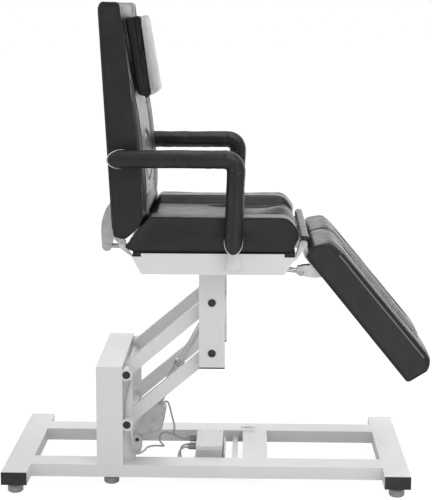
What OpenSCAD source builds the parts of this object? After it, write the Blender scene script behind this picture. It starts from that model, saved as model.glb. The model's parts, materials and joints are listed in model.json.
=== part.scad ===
// Podiatry chair: a parallelogram lift on a tube base carries a seat pan with a backrest, two leg
// rests and two armrests. X runs from the back of the chair to its front, Z is up, in millimetres.

/* [Base frame] */
// Length of the base from its rear end to its front end
base_len = 1263; // [1200:1:1330]
// Width of the base over its end crossmembers
base_w = 600; // [570:1:660]
// Width of the frame tube, which lies flat
tube_w = 80; // [74:1:90]
// Height of the frame tube
tube_h = 40; // [36:1:46]
// Wall of the frame tube and the column tube
tube_wall = 3; // [2:0.5:4]
// Distance between the two long rails
rail_gap = 280; // [274:1:296]
// Rear end of the base to the middle crossmember
mid_x = 746; // [735:1:800]
// Width of the thin brace strip between the rails
brace_w = 18; // [12:1:24]
// Gap between the brace strip and the middle crossmember
brace_gap = 16; // [8:1:24]
// Height of a levelling foot
foot_h = 30; // [24:1:40]
// Diameter of a levelling foot
foot_d = 48; // [40:1:56]
// Depth that a tube end cap stands proud
cap_t = 3; // [2:0.5:5]

/* [Control box] */
// Size of the control box along the chair
box_len = 86; // [76:1:94]
// Size of the control box across the chair
box_w = 170; // [140:1:200]
// Height of the control box
box_h = 50; // [40:1:56]
// Distance from the control box to the brace strip
box_gap = 31; // [24:1:40]
// Thickness of the tray under the control box
tray_t = 4; // [3:0.5:6]
// Outer diameter of the leads
lead_d = 6; // [5:0.5:7]

/* [Tower] */
// Rear end of the base to the tower
tower_x = 289.5; // [270:0.5:300]
// Depth of a tower post along the chair
post_d = 82; // [76:1:86]
// Width of a tower post across the chair
post_w = 40; // [36:1:44]
// Height of the tower over the rails
tower_h = 317; // [305:1:340]
// Height of the folded top member of the tower
top_h = 20; // [14:1:24]
// Step from a rail's outer face in to a post's outer face
post_inset = 1; // [0:0.5:4]
// Thickness of a pivot plate
plate_t = 6; // [5:0.5:8]
// Radius of the pivot plate round a pivot
plate_r = 19; // [17:0.5:21]

/* [Lift arms] */
// Distance from the tower's front face to the pivots
pivot_fwd = 13; // [6:0.1:14]
// Height of the lower pivots over the rails
pivot_low = 130; // [124:1:136]
// Distance between the upper and lower pivots
pivot_gap = 161; // [150:1:162]
// Distance from pivot to pivot along a lift arm
arm_len = 347.5; // [340:0.1:352]
// Angle of the lift arms above level, with the chair raised
arm_tilt = 40.36; // [38:0.02:42]
// Height of a lift arm bar
arm_h = 40; // [34:1:42]
// Width of a lift arm bar
arm_w = 25; // [20:1:28]
// Diameter of the hub tubes across the lift arms
hub_d = 24; // [22:0.5:25]
// Diameter of the pivot shafts
shaft_d = 17; // [15:1:18]
// Diameter of a pivot cap
pivot_cap_d = 25; // [24:1:30]

/* [Lift drive] */
// Distance from the tower's front face to the drive's foot pivot
drive_fwd = 28.5; // [26:0.5:34]
// Height of the drive's foot pivot over the rails
drive_up = 18; // [14:1:22]
// Distance from the column's middle back to the drive's top pivot
drive_top_back = 9.2; // [6:0.1:12]
// Distance from the upper pivot down to the drive's top pivot
drive_top_down = 56.5; // [52:0.5:60]
// Diameter of the drive's outer tube
drive_tube_d = 29; // [27:0.5:30]
// Diameter of the drive's push rod
drive_rod_d = 20; // [18:0.5:21]
// Distance from the foot pivot to the mouth of the outer tube
drive_tube_len = 298; // [285:1:305]
// Width of the drive's moulded housing across the chair
drive_w = 62; // [54:1:70]
// Diameter of the pins through the drives' eyes
drive_pin_d = 10; // [8:0.5:12]

/* [Columns] */
// Depth of a column along the chair
col_d = 80; // [74:1:88]
// Width of a column across the chair
col_w = 40; // [38:0.5:42]
// Distance from the lower pivot down to the column's lower end
col_down = 45.5; // [36:0.5:50]
// Distance from the upper pivot up to the seat pan
col_up = 107.5; // [98:0.5:120]
// Side of the square crossbar between the columns
crossbar = 30; // [24:1:32]

/* [Seat] */
// Width of the seat, the backrest and the pair of leg rests
seat_w = 560; // [540:1:600]
// Length of the seat cushion
seat_len = 530; // [520:1:535]
// Thickness of the seat cushion
seat_t = 114; // [104:1:124]
// Depth of the channel between the side bolsters of the seat
seat_dip = 22; // [10:1:28]
// Width of a side bolster of the seat and the backrest
bolster_w = 92; // [70:1:110]
// Thickness of the board under the seat cushion
board_t = 12; // [9:1:15]
// Depth of the seat pan below its lip
pan_h = 54; // [52:0.5:58]
// Thickness of the pan's sheet metal
pan_t = 2.5; // [2:0.5:3]
// Distance from the column's middle to the rear of the pan's floor
pan_back = 210.5; // [205:0.5:214]
// Distance from the column's middle to the front of the pan's floor
pan_front = 219.5; // [216:0.5:222]
// Slant of the pan's rear wall, measured along the chair
pan_rake_rear = 29.5; // [26:0.5:33]
// Slant of the pan's front wall, measured along the chair
pan_rake_front = 36; // [33:0.5:38]
// Rise of the pan's side walls above its lip
pan_side_up = 10; // [6:0.5:12]

/* [Backrest] */
// Distance from the column's middle back to the backrest hinge
hinge_back = 270.2; // [268:0.1:272]
// Height of the backrest hinge over the pan's floor
hinge_up = 91; // [89:0.5:93]
// Distance from the chair's middle to the hinge plates
hinge_y = 240; // [226:1:248]
// Thickness of the hinge plates and the lever plates
hinge_t = 6; // [5:0.5:7]
// Diameter of the hinge pins
hinge_pin_d = 12; // [10:0.5:14]
// Height of the back cushion
back_h = 700; // [660:1:740]
// Thickness of the back cushion at its lower tip
back_t = 86; // [80:1:92]
// Thickness of the back board
back_board_t = 20; // [15:1:22]
// Angle by which the backrest leans back
back_lean = 3.05; // [2.5:0.05:3.6]
// Depth of the channel between the side bolsters of the backrest
back_dip = 17; // [8:1:22]
// Distance from the hinge back to the lever's pin
lever_back = 71.5; // [68:0.5:74]
// Distance from the hinge down to the lever's pin
lever_down = 53.6; // [51:0.5:56]
// Distance between the two lever plates
lever_gap = 24; // [20:1:28]

/* [Head pillow] */
// Height of the head pillow
pillow_h = 231; // [200:1:250]
// Thickness of the head pillow
pillow_t = 57; // [52:1:66]
// Width of the head pillow
pillow_w = 360; // [320:1:370]
// Angle by which the head pillow leans back
pillow_lean = 8.6; // [8.3:0.1:9]
// Height of the pillow's lower end over the hinge
pillow_up = 443; // [430:1:450]
// Distance from the hinge forward to the pillow's lower rear edge
pillow_fwd = 50.5; // [50.5:0.5:56]

/* [Leg rests] */
// Distance from the column's middle to the leg rest hinges
leg_fwd = 276.8; // [275:0.1:279]
// Height of the leg rest hinges over the pan's floor
leg_up = 90; // [88:0.5:92]
// Angle by which the leg rests hang below level
leg_drop = 51.4; // [48:0.1:53]
// Length of a leg rest from its hinge
leg_len = 532; // [500:1:560]
// Thickness of a leg cushion
leg_t = 92; // [80:1:100]
// Crown of a leg cushion above its side edges
leg_crown = 14; // [6:1:18]
// Gap between the two leg rests
leg_split = 10; // [6:1:16]
// Thickness of a leg board
leg_board_t = 14; // [10:1:16]
// Length of the leg lever from hinge to pin
leg_lever = 85.2; // [83:0.1:87]
// Diameter of the push rods in the pan
small_rod_d = 16; // [14:0.5:16]
// Diameter of the outer tubes of the drives in the pan
small_tube_d = 25; // [23:0.5:26]
// Distance from the column's middle forward to the back drive's anchor
back_anchor_fwd = 150.8; // [146:0.1:156]
// Height of the back drive's anchor over the pan's floor
back_anchor_up = 31; // [30:0.5:33]
// Distance from the column's middle back to the leg drives' anchors
leg_anchor_back = 9.2; // [0:0.1:14]
// Height of the leg drives' anchors over the pan's floor
leg_anchor_up = 34; // [32:0.5:35]

/* [Armrests] */
// Diameter of the padded rolls of the armrests
roll_d = 50; // [46:1:54]
// Gap between the seat's side and the rolls
roll_gap = 5; // [4.5:0.5:7]
// Height of the level arm over the backrest hinge
rest_up = 260; // [245:1:275]
// Distance from the hinge forward to the arm's pivot on the backrest
rest_fwd = 9; // [6:0.5:12]
// Distance between the pivots of the level arm
rest_len = 337; // [325:1:350]
// Distance that the level roll reaches behind its rear pivot
rest_tail = 43; // [38:1:46]
// Distance that the post's roll reaches below its lower pivot
post_tail = 22; // [18:1:26]
// Thickness of the flat bars in the armrests
flat_t = 5; // [4:0.5:5.5]
// Width of the flat bars in the armrests
flat_w = 24; // [20:1:26]

/* [Hidden] */
$fn = 48;
hull_fn = 32;
over = 1;                 // overrun of a cut past the face it opens
fit = 0.05;               // running fit of a bore round its shaft
gap = 0.3;                // least gap between pieces of different bodies
steps = 3;                // points along a rounded corner, less one

paint = [0.86, 0.87, 0.88];
hide = [0.09, 0.09, 0.1];
black = [0.12, 0.12, 0.13];
steel = [0.62, 0.63, 0.65];
grey = [0.42, 0.43, 0.45];
wood = [0.6, 0.48, 0.34];

// Base frame
frame_top = foot_h + tube_h;
rail_in = rail_gap / 2;
rail_out = rail_in + tube_w;
rail_mid = rail_in + tube_w / 2;
foot_inset = 30;
foot_pad_share = 0.72;
foot_neck_d = 30;
foot_edge = 4;

// Tower
post_front = tower_x + post_d;
post_out = rail_out - post_inset;
post_in = post_out - post_w;
plate_out = post_in;
plate_in = plate_out - plate_t;
plate_lap = 7;
plate_waist = 0.8;         // front edge of a pivot plate, as a share of the radius round its pivots
tower_top = frame_top + tower_h;

// Lift arms. Each pair is the place along the chair and the height.
tower_low = [post_front + pivot_fwd, frame_top + pivot_low];
tower_high = tower_low + [0, pivot_gap];
arm_run = arm_len * [cos(arm_tilt), sin(arm_tilt)];
col_low = tower_low + arm_run;
col_high = tower_high + arm_run;
col_out = rail_in + tube_w * 0.625;
col_in = col_out - col_w;
side_play = 1;
arm_out = col_in - side_play;
hub_bore = shaft_d / 2 + fit;
pivot_cap_t = 4;
arm_rear = 2 * side_play;

// Lift drive
drive_foot = [post_front + drive_fwd, frame_top + drive_up];
drive_top = col_high - [drive_top_back, drive_top_down];
drive_run = drive_top - drive_foot;
drive_len = norm(drive_run);
drive_tilt = atan2(drive_run[1], drive_run[0]);
ear_t = 6;
eye_w = 28;
eye_r = 13;
ear_in = eye_w / 2 + side_play;

// Seat. Places are taken from the columns and the pan's floor.
pan_z = col_high[1] + col_up;
col_x = col_high[0];
lip_z = pan_z + pan_h;
cushion_z = lip_z + board_t;
seat_half = seat_w / 2;
pan_in = seat_half + 1.5 * side_play;
pan_out = pan_in + pan_t;
hinge = [col_x - hinge_back, pan_z + hinge_up];
seat_rear = hinge[0] + hinge_pin_d / 2 + 3 * side_play;
pan_floor = [col_x - pan_back, col_x + pan_front];
pan_lip = [pan_floor[0] - pan_rake_rear, pan_floor[1] + pan_rake_front];
lip_w = 16;
seat_shares = [[0.045, 0, 0.105], [0.955, 0, 0.07], [1.006, 0.509, 0.228], [0.938, 1, 0.3],
    [0.151, 1, 0.09], [0, 0.13, 0.04]];
seat_edge = 16;
ridge_w = 90;
ridge_from_share = 0.72;

// Backrest
back_foot = hinge + [-5, 21];
back_shares = [[0, -0.007, 0.004], [0.192, -0.014, 0.005], [1.02, 0.083, 0.012], [1.1, 0.2, 0.07],
    [0.96, 0.54, 0.12], [0.57, 0.882, 0.06], [0.535, 0.993, 0.023], [0.012, 0.995, 0.009]];
back_edge = 16;
lever_pin = hinge - [lever_back, lever_down];
lever_r = 16;
lever_shares = [[0, -1.3], [0.579, -1], [0.869, -0.752], [1.077, -0.441], [1.222, -0.125], [1.288, 0.192],
    [1.31, 0.577], [1.3, 0.9], [1, 1], [0.69, 0.93], [0.4, 0.28], [0, -0.14]];
strap_h = 120;

// Head pillow
pillow_shares = [[0, 0, 0.04], [0.5, -0.05, 0.08], [1, 0.08, 0.1], [1.02, 0.6, 0.25], [0.95, 1.01, 0.08],
    [0, 1, 0.04]];
pillow_edge = 26;

// Leg rests. Local places run down the leg rest and square up from it.
leg_hinge = [col_x + leg_fwd, pan_z + leg_up];
leg_shares = [[0.056, 0, 0.09], [1, 0, 0.06], [1.008, 0.75, 0.17], [0.965, 1, 0.2], [0.15, 0.946, 0.33],
    [0.075, 0.826, 0.17], [0.036, 0.283, 0.11]];
leg_edge = 12;
leg_cushion_v = -4;
leg_groove_w = 34;
leg_groove = 9;
leg_pin = leg_lever * [cos(-45.3), sin(-45.3)];
leg_w = (seat_w - leg_split) / 2;

// Drives in the pan
small_eye_r = 11;
small_eye_w = 16;
back_anchor = [col_x + back_anchor_fwd, pan_z + back_anchor_up];
leg_anchor = [col_x - leg_anchor_back, pan_z + leg_anchor_up];
leg_drive_y = hinge_y - hinge_t / 2;
leg_pin_at = leg_hinge + along(-leg_drop, leg_pin);
back_tube_len = 280;
leg_tube_len = 160;
back_rod_from = 190;
leg_rod_from = 56;
lever_in = [leg_drive_y - small_eye_w / 2 - side_play - hinge_t, leg_drive_y + small_eye_w / 2 + side_play];
short_y = 36;

// Armrests
roll_in = seat_half + roll_gap;
roll_y = roll_in + roll_d / 2;
rest_pivot = hinge + [rest_fwd, rest_up];
rest_corner = rest_pivot + [rest_len, 0];
seat_pivot = rest_corner - [rest_fwd, rest_up];
post_lean = atan2(rest_fwd, rest_up);
post_run = norm(rest_corner - seat_pivot);
bevel_run = 75;
arm_flat_in = roll_in + side_play;
post_flat_in = arm_flat_in + flat_t + side_play / 2;
head_t = 3;
head_d = 22;

// The origin is under the middle of the chair's length, on the floor. Its front is the tip of a leg cushion.
leg_points = sized(leg_shares, leg_len, leg_t, leg_t);
front_x = max([for (p = leg_points) (leg_hinge + along(-leg_drop, p + [0, leg_cushion_v]))[0]]);
origin_x = front_x / 2;

// Helpers

// Turns a pair of local places by an angle, counter-clockwise with X to the right and Z up
function along(a, p) = [p[0] * cos(a) - p[1] * sin(a), p[0] * sin(a) + p[1] * cos(a)];

function smooth(t) = let (c = max(0, min(1, t))) c * c * (3 - 2 * c);

// A closed outline from corners [x, z, blend], each rounded over its blend length
function rounded(corners, k = steps) = [for (i = [0:len(corners) - 1])
    let (n = len(corners), p = corners[i], a = corners[(i + n - 1) % n], b = corners[(i + 1) % n],
        pc = [p[0], p[1]], ua = [a[0], a[1]] - pc, ub = [b[0], b[1]] - pc,
        from = pc + ua / norm(ua) * p[2], to = pc + ub / norm(ub) * p[2])
    for (s = [0:k]) let (t = s / k) (1 - t) * (1 - t) * from + 2 * t * (1 - t) * pc + t * t * to];

// Corners in shares of a length and a height, as an outline in millimetres
function sized(shares, length, height, blend) =
    rounded([for (p = shares) [p[0] * length, p[1] * height, p[2] * blend]]);

// An outline drawn in by a distance, for one that runs counter-clockwise
function drawn_in(pts, d) = [for (i = [0:len(pts) - 1])
    let (n = len(pts), t = pts[(i + 1) % n] - pts[(i + n - 1) % n]) pts[i] + d * [-t[1], t[0]] / norm(t)];

// Steps of a quarter turn, from its start to one step short of its end
function quarter(turns) = [for (i = [0:turns - 1]) 90 * (1 - i / turns)];

// Stations across a cushion: [place, how far its outline is drawn in]
function stations(half, edge, count, turns = 3) = let (
    rim = [for (a = quarter(turns)) [half - edge * (1 - sin(a)), edge * (1 - cos(a))]])
    concat([for (r = rim) [-r[0], r[1]]],
        [for (i = [0:count]) [(half - edge) * (2 * i / count - 1), 0]],
        [for (i = [turns - 1:-1:0]) rim[i]]);

// A closed form through outlines of equal length, each a list of points in space
module loft(sections) {
    n = len(sections[0]);
    m = len(sections);
    sides = [for (j = [0:m - 2], i = [0:n - 1], k = [0, 1])
        let (a = j * n + i, b = j * n + (i + 1) % n) k == 0 ? [a, b, b + n] : [a, b + n, a + n]];
    ends = [[for (i = [0:n - 1]) n - 1 - i], [for (i = [0:n - 1]) (m - 1) * n + i]];
    polyhedron([for (s = sections) each s], concat(sides, ends), convexity = 6);
}

// A cushion lofted across the chair, whose outline is pressed in by press(y, point)
module cushion(outline, half, edge, count, press) loft([for (s = stations(half, edge, count))
    [for (p = drawn_in(outline, s[1])) let (q = p - press(s[0], p)) [q[0], s[0], q[1]]]]);

// A smooth route through hand-picked points, with a number of steps between each pair
function route(pts, k) = concat([for (i = [0:len(pts) - 2], s = [0:k - 1])
    let (t = s / k, a = pts[max(0, i - 1)], b = pts[i], c = pts[i + 1], d = pts[min(len(pts) - 1, i + 2)])
    b + (c - a) * t / 2 + (2 * a - 5 * b + 4 * c - d) * t * t / 2 + (3 * b - a - 3 * c + d) * pow(t, 3) / 2],
    [pts[len(pts) - 1]]);

// A round tube along a route
module tube_along(path, d, sides = 8) {
    n = len(path);
    dir = [for (i = [0:n - 1]) let (v = path[min(n - 1, i + 1)] - path[max(0, i - 1)]) v / norm(v)];
    start = cross(dir[0], [0, 1, 0]);
    ups = [for (i = 0, u = start / norm(start); i < n;
        i = i + 1, u = i < n ? (let (w = u - (u * dir[i]) * dir[i]) w / norm(w)) : u) u];
    loft([for (i = [0:n - 1]) [for (s = [0:sides - 1]) let (a = 360 * s / sides)
        path[i] + d / 2 * (cos(a) * ups[i] + sin(a) * cross(ups[i], dir[i]))]]);
}

// Moves a piece that is drawn from the rear end of the base to the chair's own origin
module placed() translate([-origin_x, 0, 0]) children();

// Extrudes an outline in X and Z across the chair, from y0 to y1
module across(y0, y1) translate([0, y1, 0]) rotate([90, 0, 0]) linear_extrude(y1 - y0) children();

// The same on both sides of the chair
module both_sides() {
    children();
    mirror([0, 1, 0]) children();
}

// A round bar across the chair at a pair [x, z]
module bar_across(at, d, y0, y1) translate([at[0], y0, at[1]]) rotate([-90, 0, 0])
    cylinder(d = d, h = y1 - y0);

// A slot-shaped outline from one pair to another
module link_outline(a, b, w) {
    run = b - a;
    translate(a) circle(d = w);
    translate(b) circle(d = w);
    translate(a) rotate(atan2(run[1], run[0])) translate([0, -w / 2]) square([norm(run), w]);
}

// Base frame

module tube_x(x0, x1, y0) translate([x0, y0, foot_h]) difference() {
    cube([x1 - x0, tube_w, tube_h]);
    translate([-over, tube_wall, tube_wall])
        cube([x1 - x0 + 2 * over, tube_w - 2 * tube_wall, tube_h - 2 * tube_wall]);
}

module tube_y(x0, half) translate([x0, -half, foot_h]) difference() {
    cube([tube_w, 2 * half, tube_h]);
    translate([tube_wall, -over, tube_wall])
        cube([tube_w - 2 * tube_wall, 2 * half + 2 * over, tube_h - 2 * tube_wall]);
}

module base_rails() color(paint) placed() both_sides() tube_x(tube_w, base_len - tube_w, rail_in);

module end_crossmembers() color(paint) placed() {
    tube_y(0, base_w / 2);
    tube_y(base_len - tube_w, base_w / 2);
}

module inner_crossmembers() color(paint) placed() {
    tube_y(mid_x, rail_in);
    tube_y(post_front - tube_w, rail_in);
    translate([mid_x - brace_gap - brace_w, -rail_in, foot_h])
        cube([brace_w, 2 * rail_in, tube_h / 2]);
}

module end_cap(x) translate([x, base_w / 2, foot_h]) {
    cube([tube_w, cap_t, tube_h]);
    translate([tube_wall + gap, -2 * cap_t, tube_wall + gap])
        cube([tube_w - 2 * (tube_wall + gap), 2 * cap_t, tube_h - 2 * (tube_wall + gap)]);
}

module crossmember_end_caps() color(black) placed() both_sides() {
    end_cap(0);
    end_cap(base_len - tube_w);
}

module foot() {
    pad_h = foot_h * foot_pad_share;
    rotate_extrude() polygon([[0, 0], [foot_d / 2 - foot_edge, 0], [foot_d / 2, foot_edge],
        [foot_d / 2, pad_h - foot_edge / 2], [foot_d / 2 - foot_edge / 2, pad_h], [foot_neck_d / 2, pad_h],
        [foot_neck_d / 2, foot_h], [0, foot_h]]);
}

module levelling_feet() color(grey) placed() both_sides() {
    for (x = [tube_w / 2, base_len - tube_w / 2]) translate([x, base_w / 2 - foot_inset, 0]) foot();
    translate([post_front - tube_w / 2, rail_mid, 0]) foot();
}

// Tower

module tower_posts() color(paint) placed() both_sides()
    translate([tower_x, post_in, frame_top]) difference() {
        cube([post_d, post_w, tower_h - top_h]);
        translate([tube_wall, tube_wall, -over])
            cube([post_d - 2 * tube_wall, post_w - 2 * tube_wall, tower_h - top_h + 2 * over]);
    }

module tower_top_member() color(paint) placed()
    translate([tower_x, -post_out, tower_top - top_h]) difference() {
        cube([post_d, 2 * post_out, top_h]);
        translate([tube_wall, tube_wall, -over])
            cube([post_d - 2 * tube_wall, 2 * (post_out - tube_wall), top_h - tube_wall + over]);
    }

module pivot_plate_outline() difference() {
    union() {
        translate([post_front - plate_lap, frame_top])
            square([pivot_fwd + plate_waist * plate_r + plate_lap, tower_high[1] - frame_top]);
        for (at = [tower_low, tower_high]) translate(at) circle(plate_r);
    }
    translate([tower_x, tower_top - top_h]) square([post_d, top_h]);
    for (at = [tower_low, tower_high]) translate(at) circle(hub_bore);
}

module bush_outline(at) difference() {
    translate(at) circle(plate_r);
    translate(at) circle(hub_bore);
    translate([post_front - tube_w, at[1] - 2 * plate_r]) square([tube_w, 4 * plate_r]);
}

module pivot_plates() color(paint) placed() both_sides() {
    across(plate_in, plate_out) pivot_plate_outline();
    for (at = [tower_low, tower_high]) across(plate_out, post_out) bush_outline(at);
}

module tower_pivot_shafts() color(steel) placed() for (at = [tower_low, tower_high])
    bar_across(at, shaft_d, -post_out, post_out);

module pivot_cap(at, y) translate([at[0], y, at[1]]) rotate([-90, 0, 0])
    cylinder(d1 = pivot_cap_d, d2 = pivot_cap_d - pivot_cap_t, h = pivot_cap_t);

module tower_pivot_caps() color(black) placed() both_sides()
    for (at = [tower_low, tower_high]) pivot_cap(at, post_out);

module drive_foot_bracket() color(paint) placed() {
    low = foot_h + ear_t;
    both_sides() across(ear_in, ear_in + ear_t) difference() {
        union() {
            translate(drive_foot) circle(eye_r + side_play);
            polygon([[post_front, low], [drive_foot[0] + eye_r / 2, low],
                drive_foot + [eye_r, low + eye_r - drive_foot[1]], drive_foot + [eye_r + side_play, 0],
                drive_foot + [0, eye_r], [post_front, drive_foot[1]]]);
        }
        translate([post_front - 2 * eye_r, frame_top]) square([2 * eye_r, 2 * eye_r]);
        translate(drive_foot) circle(drive_pin_d / 2 + fit);
    }
    bar_across(drive_foot, drive_pin_d, -ear_in - ear_t - head_t, ear_in + ear_t + head_t);
}

// Control box

box_x = mid_x - brace_gap - brace_w - box_gap - box_len;
box_z = foot_h + tray_t + tray_t;
lid_h = box_h / 4;
seam = 0.8;

module rounded_box(size, r) hull() for (x = [r, size[0] - r], y = [r, size[1] - r])
    translate([x, y, 0]) cylinder(r = r, h = size[2], $fn = hull_fn);

module control_box_case() color(grey) placed() translate([box_x, -box_w / 2, box_z])
    rounded_box([box_len, box_w, box_h - lid_h], lid_h / 4);

module control_box_lid() color(steel) placed() translate([box_x, -box_w / 2, box_z + box_h - lid_h]) {
    rounded_box([box_len, box_w, lid_h - seam], lid_h / 4);
    translate([seam, seam, lid_h - seam])
        rounded_box([box_len - 2 * seam, box_w - 2 * seam, seam], lid_h / 4);
}

module control_box_tray() color(paint) placed() {
    translate([box_x - tray_t, -rail_in, foot_h + tray_t])
        cube([box_len + 3 * tray_t, 2 * rail_in, tray_t]);
    translate([box_x + box_len + tray_t, -box_w / 2, foot_h + tray_t + tray_t])
        cube([tray_t, box_w, box_h / 2]);
}

plug_d = 14;
plug_len = 24;
plug_places = [-36, -8, 44, 66];

module control_box_plugs() color(black) placed() for (y = plug_places)
    translate([plug_x, y, plug_z]) rotate([0, 90, 0]) cylinder(d = plug_d, h = plug_len);

// Leads. Their points are picked by hand along the routes that the photograph shows.

plug_x = box_x - plug_len;
plug_z = box_z + 0.6 * box_h;
motor_route = [[487, 0, 205.8], [492.4, 0, 211.9], [500, -1, 210], [506, 1, 194], [511, 5, 170],
    [517, 10, 144], [521, 15, 119], [518, 22, 99], [530, 32, 84], [549, 40, 73],
    [plug_x, plug_places[2], plug_z]];
plate_face = plate_out + lead_d / 2 + gap;
lead_routes = [
    [[plug_x, plug_places[3], plug_z], [549, 62, 68], [530, 56, 76], [508, 50, 86], [492, 46, 92],
        [480, 42, 91], [471, 41, 81], [470, 40, 65], [478, 38, 54], [484, 30, 50], [476, 22, 52],
        [452, 14, 55], [432, 0, 54], [425, -30, 54], [416, -62, 57], [410, -92, 65], [406, -126, 78],
        [405, -165, 84], [406.5, -187, 89], [402, -plate_face, 98], [398.4, -plate_face, 110],
        [394, -plate_face, 141], [392, -plate_face, 156], [390.5, side_play - plate_out, 165]],
    [[377, side_play - plate_out, 227], [377, -plate_face, 236], [379, -plate_face, 267],
        [386, -plate_face, 300], [392, -plate_face, 326], [393.5, side_play - plate_out, 336]],
    [[plug_x, plug_places[0], plug_z], [559, -40, 70], [546, -47, 65], [539, -57, 54], [539, -80, 42],
        [546, -110, 39], [554, side_play - rail_in, 44]],
    [[plug_x, plug_places[1], plug_z], [557, -12, 69], [545, -20, 62], [542, -34, 48], [548, -62, 38],
        [557, -100, 36], [564, side_play - rail_in, 42]]];

module motor_lead() color(black) placed() tube_along(route(motor_route, 3), lead_d);

module seat_leads() color(black) placed() for (r = lead_routes) tube_along(route(r, 3), lead_d);

// Lift arms

// Each bar is square at its rear end, so that it clears the tower's top member
module arm_bars(low) translate([low[0], 0, low[1]]) rotate([0, -arm_tilt, 0]) both_sides() difference() {
    across(arm_out - arm_w, arm_out) {
        translate([arm_rear, -arm_h / 2]) square([arm_len - arm_rear, arm_h]);
        translate([arm_len, 0]) circle(d = arm_h);
    }
    for (x = [0, arm_len]) bar_across([x, 0], hub_d, arm_out - arm_w - over, arm_out + over);
}

module hub_tubes(low, high) {
    for (p = [[low, plate_in - side_play], [high, arm_out]]) difference() {
        bar_across(p[0], hub_d, -p[1], p[1]);
        bar_across(p[0], 2 * hub_bore, -p[1] - over, p[1] + over);
    }
}

module upper_arm_bars() color(paint) placed() arm_bars(tower_high);
module upper_hub_tubes() color(paint) placed() hub_tubes(tower_high, col_high);
module lower_arm_bars() color(paint) placed() arm_bars(tower_low);
module lower_hub_tubes() color(paint) placed() hub_tubes(tower_low, col_low);

// Columns

module seat_columns() color(paint) placed() both_sides() difference() {
    translate([col_x - col_d / 2, col_in, col_low[1] - col_down]) difference() {
        cube([col_d, col_w, pan_z - col_low[1] + col_down]);
        translate([tube_wall, tube_wall, -over])
            cube([col_d - 2 * tube_wall, col_w - 2 * tube_wall, pan_z - col_low[1] + col_down + 2 * over]);
    }
    for (at = [col_low, col_high]) bar_across(at, 2 * hub_bore, col_in - over, col_out + over);
}

module column_caps() color(black) placed() both_sides() {
    for (at = [col_low, col_high]) pivot_cap(at, col_out);
    translate([col_x - col_d / 2, col_in, col_low[1] - col_down - cap_t]) cube([col_d, col_w, cap_t]);
    translate([col_x - col_d / 2 + tube_wall + gap, col_in + tube_wall + gap, col_low[1] - col_down])
        cube([col_d - 2 * (tube_wall + gap), col_w - 2 * (tube_wall + gap), 2 * cap_t]);
}

module column_pivot_shafts() color(steel) placed() for (at = [col_low, col_high])
    bar_across(at, shaft_d, -col_out, col_out);

module column_crossbar() color(paint) placed() {
    bar_x = col_x + col_d / 2 - crossbar;
    translate([bar_x, -col_in, drive_top[1] - crossbar / 2]) difference() {
        cube([crossbar, 2 * col_in, crossbar]);
        translate([tube_wall, -over, tube_wall])
            cube([crossbar - 2 * tube_wall, 2 * col_in + 2 * over, crossbar - 2 * tube_wall]);
    }
    both_sides() {
        across(ear_in, ear_in + ear_t) {
            translate(drive_top) circle(crossbar / 2);
            translate([drive_top[0], drive_top[1] - crossbar / 2])
                square([bar_x + tube_wall / 2 - drive_top[0], crossbar]);
        }
        bar_across(drive_top, 2 * drive_pin_d, ear_in + ear_t, ear_in + ear_t + head_t);
    }
}

// Seat pan

pan_outline = [[pan_floor[0], pan_z], [pan_floor[1], pan_z], [pan_lip[1], lip_z], [pan_lip[0], lip_z]];
pan_inner = [[pan_floor[0] + pan_t / 2, pan_z + pan_t], [pan_floor[1] - pan_t / 2, pan_z + pan_t],
    [pan_lip[1] - pan_t, lip_z + over], [pan_lip[0] + pan_t, lip_z + over]];
lever_slot = lever_gap + 2 * hinge_t + 8 * side_play;
rod_slot = 2 * small_eye_r + 12 * side_play;
slot_reach = 26;
board_inset = 4;

module seat_pan() color(paint) placed() difference() {
    union() {
        difference() {
            across(-pan_out, pan_out) polygon(pan_outline);
            across(-pan_in, pan_in) polygon(pan_inner);
        }
        both_sides() {
            translate([pan_floor[0], pan_in, lip_z - over])
                cube([pan_floor[1] - pan_floor[0], pan_t, pan_side_up + over]);
            translate([pan_floor[0], pan_in - lip_w, lip_z - pan_t])
                cube([pan_floor[1] - pan_floor[0], lip_w + over, pan_t]);
        }
    }
    translate([pan_lip[0] - over, -lever_slot / 2, pan_z - over])
        cube([pan_rake_rear + slot_reach + over, lever_slot, pan_h - pan_side_up / 2]);
    both_sides() translate([pan_floor[1] - slot_reach, leg_drive_y - rod_slot / 2, pan_z - over])
        cube([pan_rake_front + slot_reach + over, rod_slot, pan_h - pan_side_up]);
}

// Hinge ears, armrest brackets and drive anchors, welded to the pan
ear_out = hinge_y + hinge_t + side_play;

module back_ear_outline() difference() {
    union() {
        translate(hinge) circle(hinge_pin_d);
        polygon([hinge + [-hinge_pin_d, 0], hinge + [-hinge_pin_d / 2, -1.5 * hinge_pin_d],
            [pan_floor[0], pan_z + pan_h / 2], [pan_floor[0], lip_z], [pan_lip[0], lip_z],
            hinge + [0.7, -0.7] * hinge_pin_d]);
    }
    polygon(pan_outline);
    translate(hinge) circle(hinge_pin_d / 2 + fit);
}

module leg_ear_outline() difference() {
    union() {
        translate(leg_hinge) circle(hinge_pin_d);
        polygon([leg_hinge + [hinge_pin_d, 0], leg_hinge + [-0.7, 0.7] * hinge_pin_d, [pan_lip[1], lip_z],
            [pan_floor[1], lip_z], [pan_floor[1], pan_z + 0.6 * pan_h],
            [pan_lip[1], pan_z + 0.75 * pan_h]]);
    }
    polygon(pan_outline);
    translate(leg_hinge) circle(hinge_pin_d / 2 + fit);
}

module arm_bracket_outline() {
    low = pan_z + pan_h / 4 - seat_pivot[1];
    translate(seat_pivot) circle(d = flat_w);
    polygon([seat_pivot + [-flat_w / 2, 0], seat_pivot + [-flat_w, low], seat_pivot + [flat_w, low],
        seat_pivot + [flat_w / 2, 0]]);
}

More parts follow.
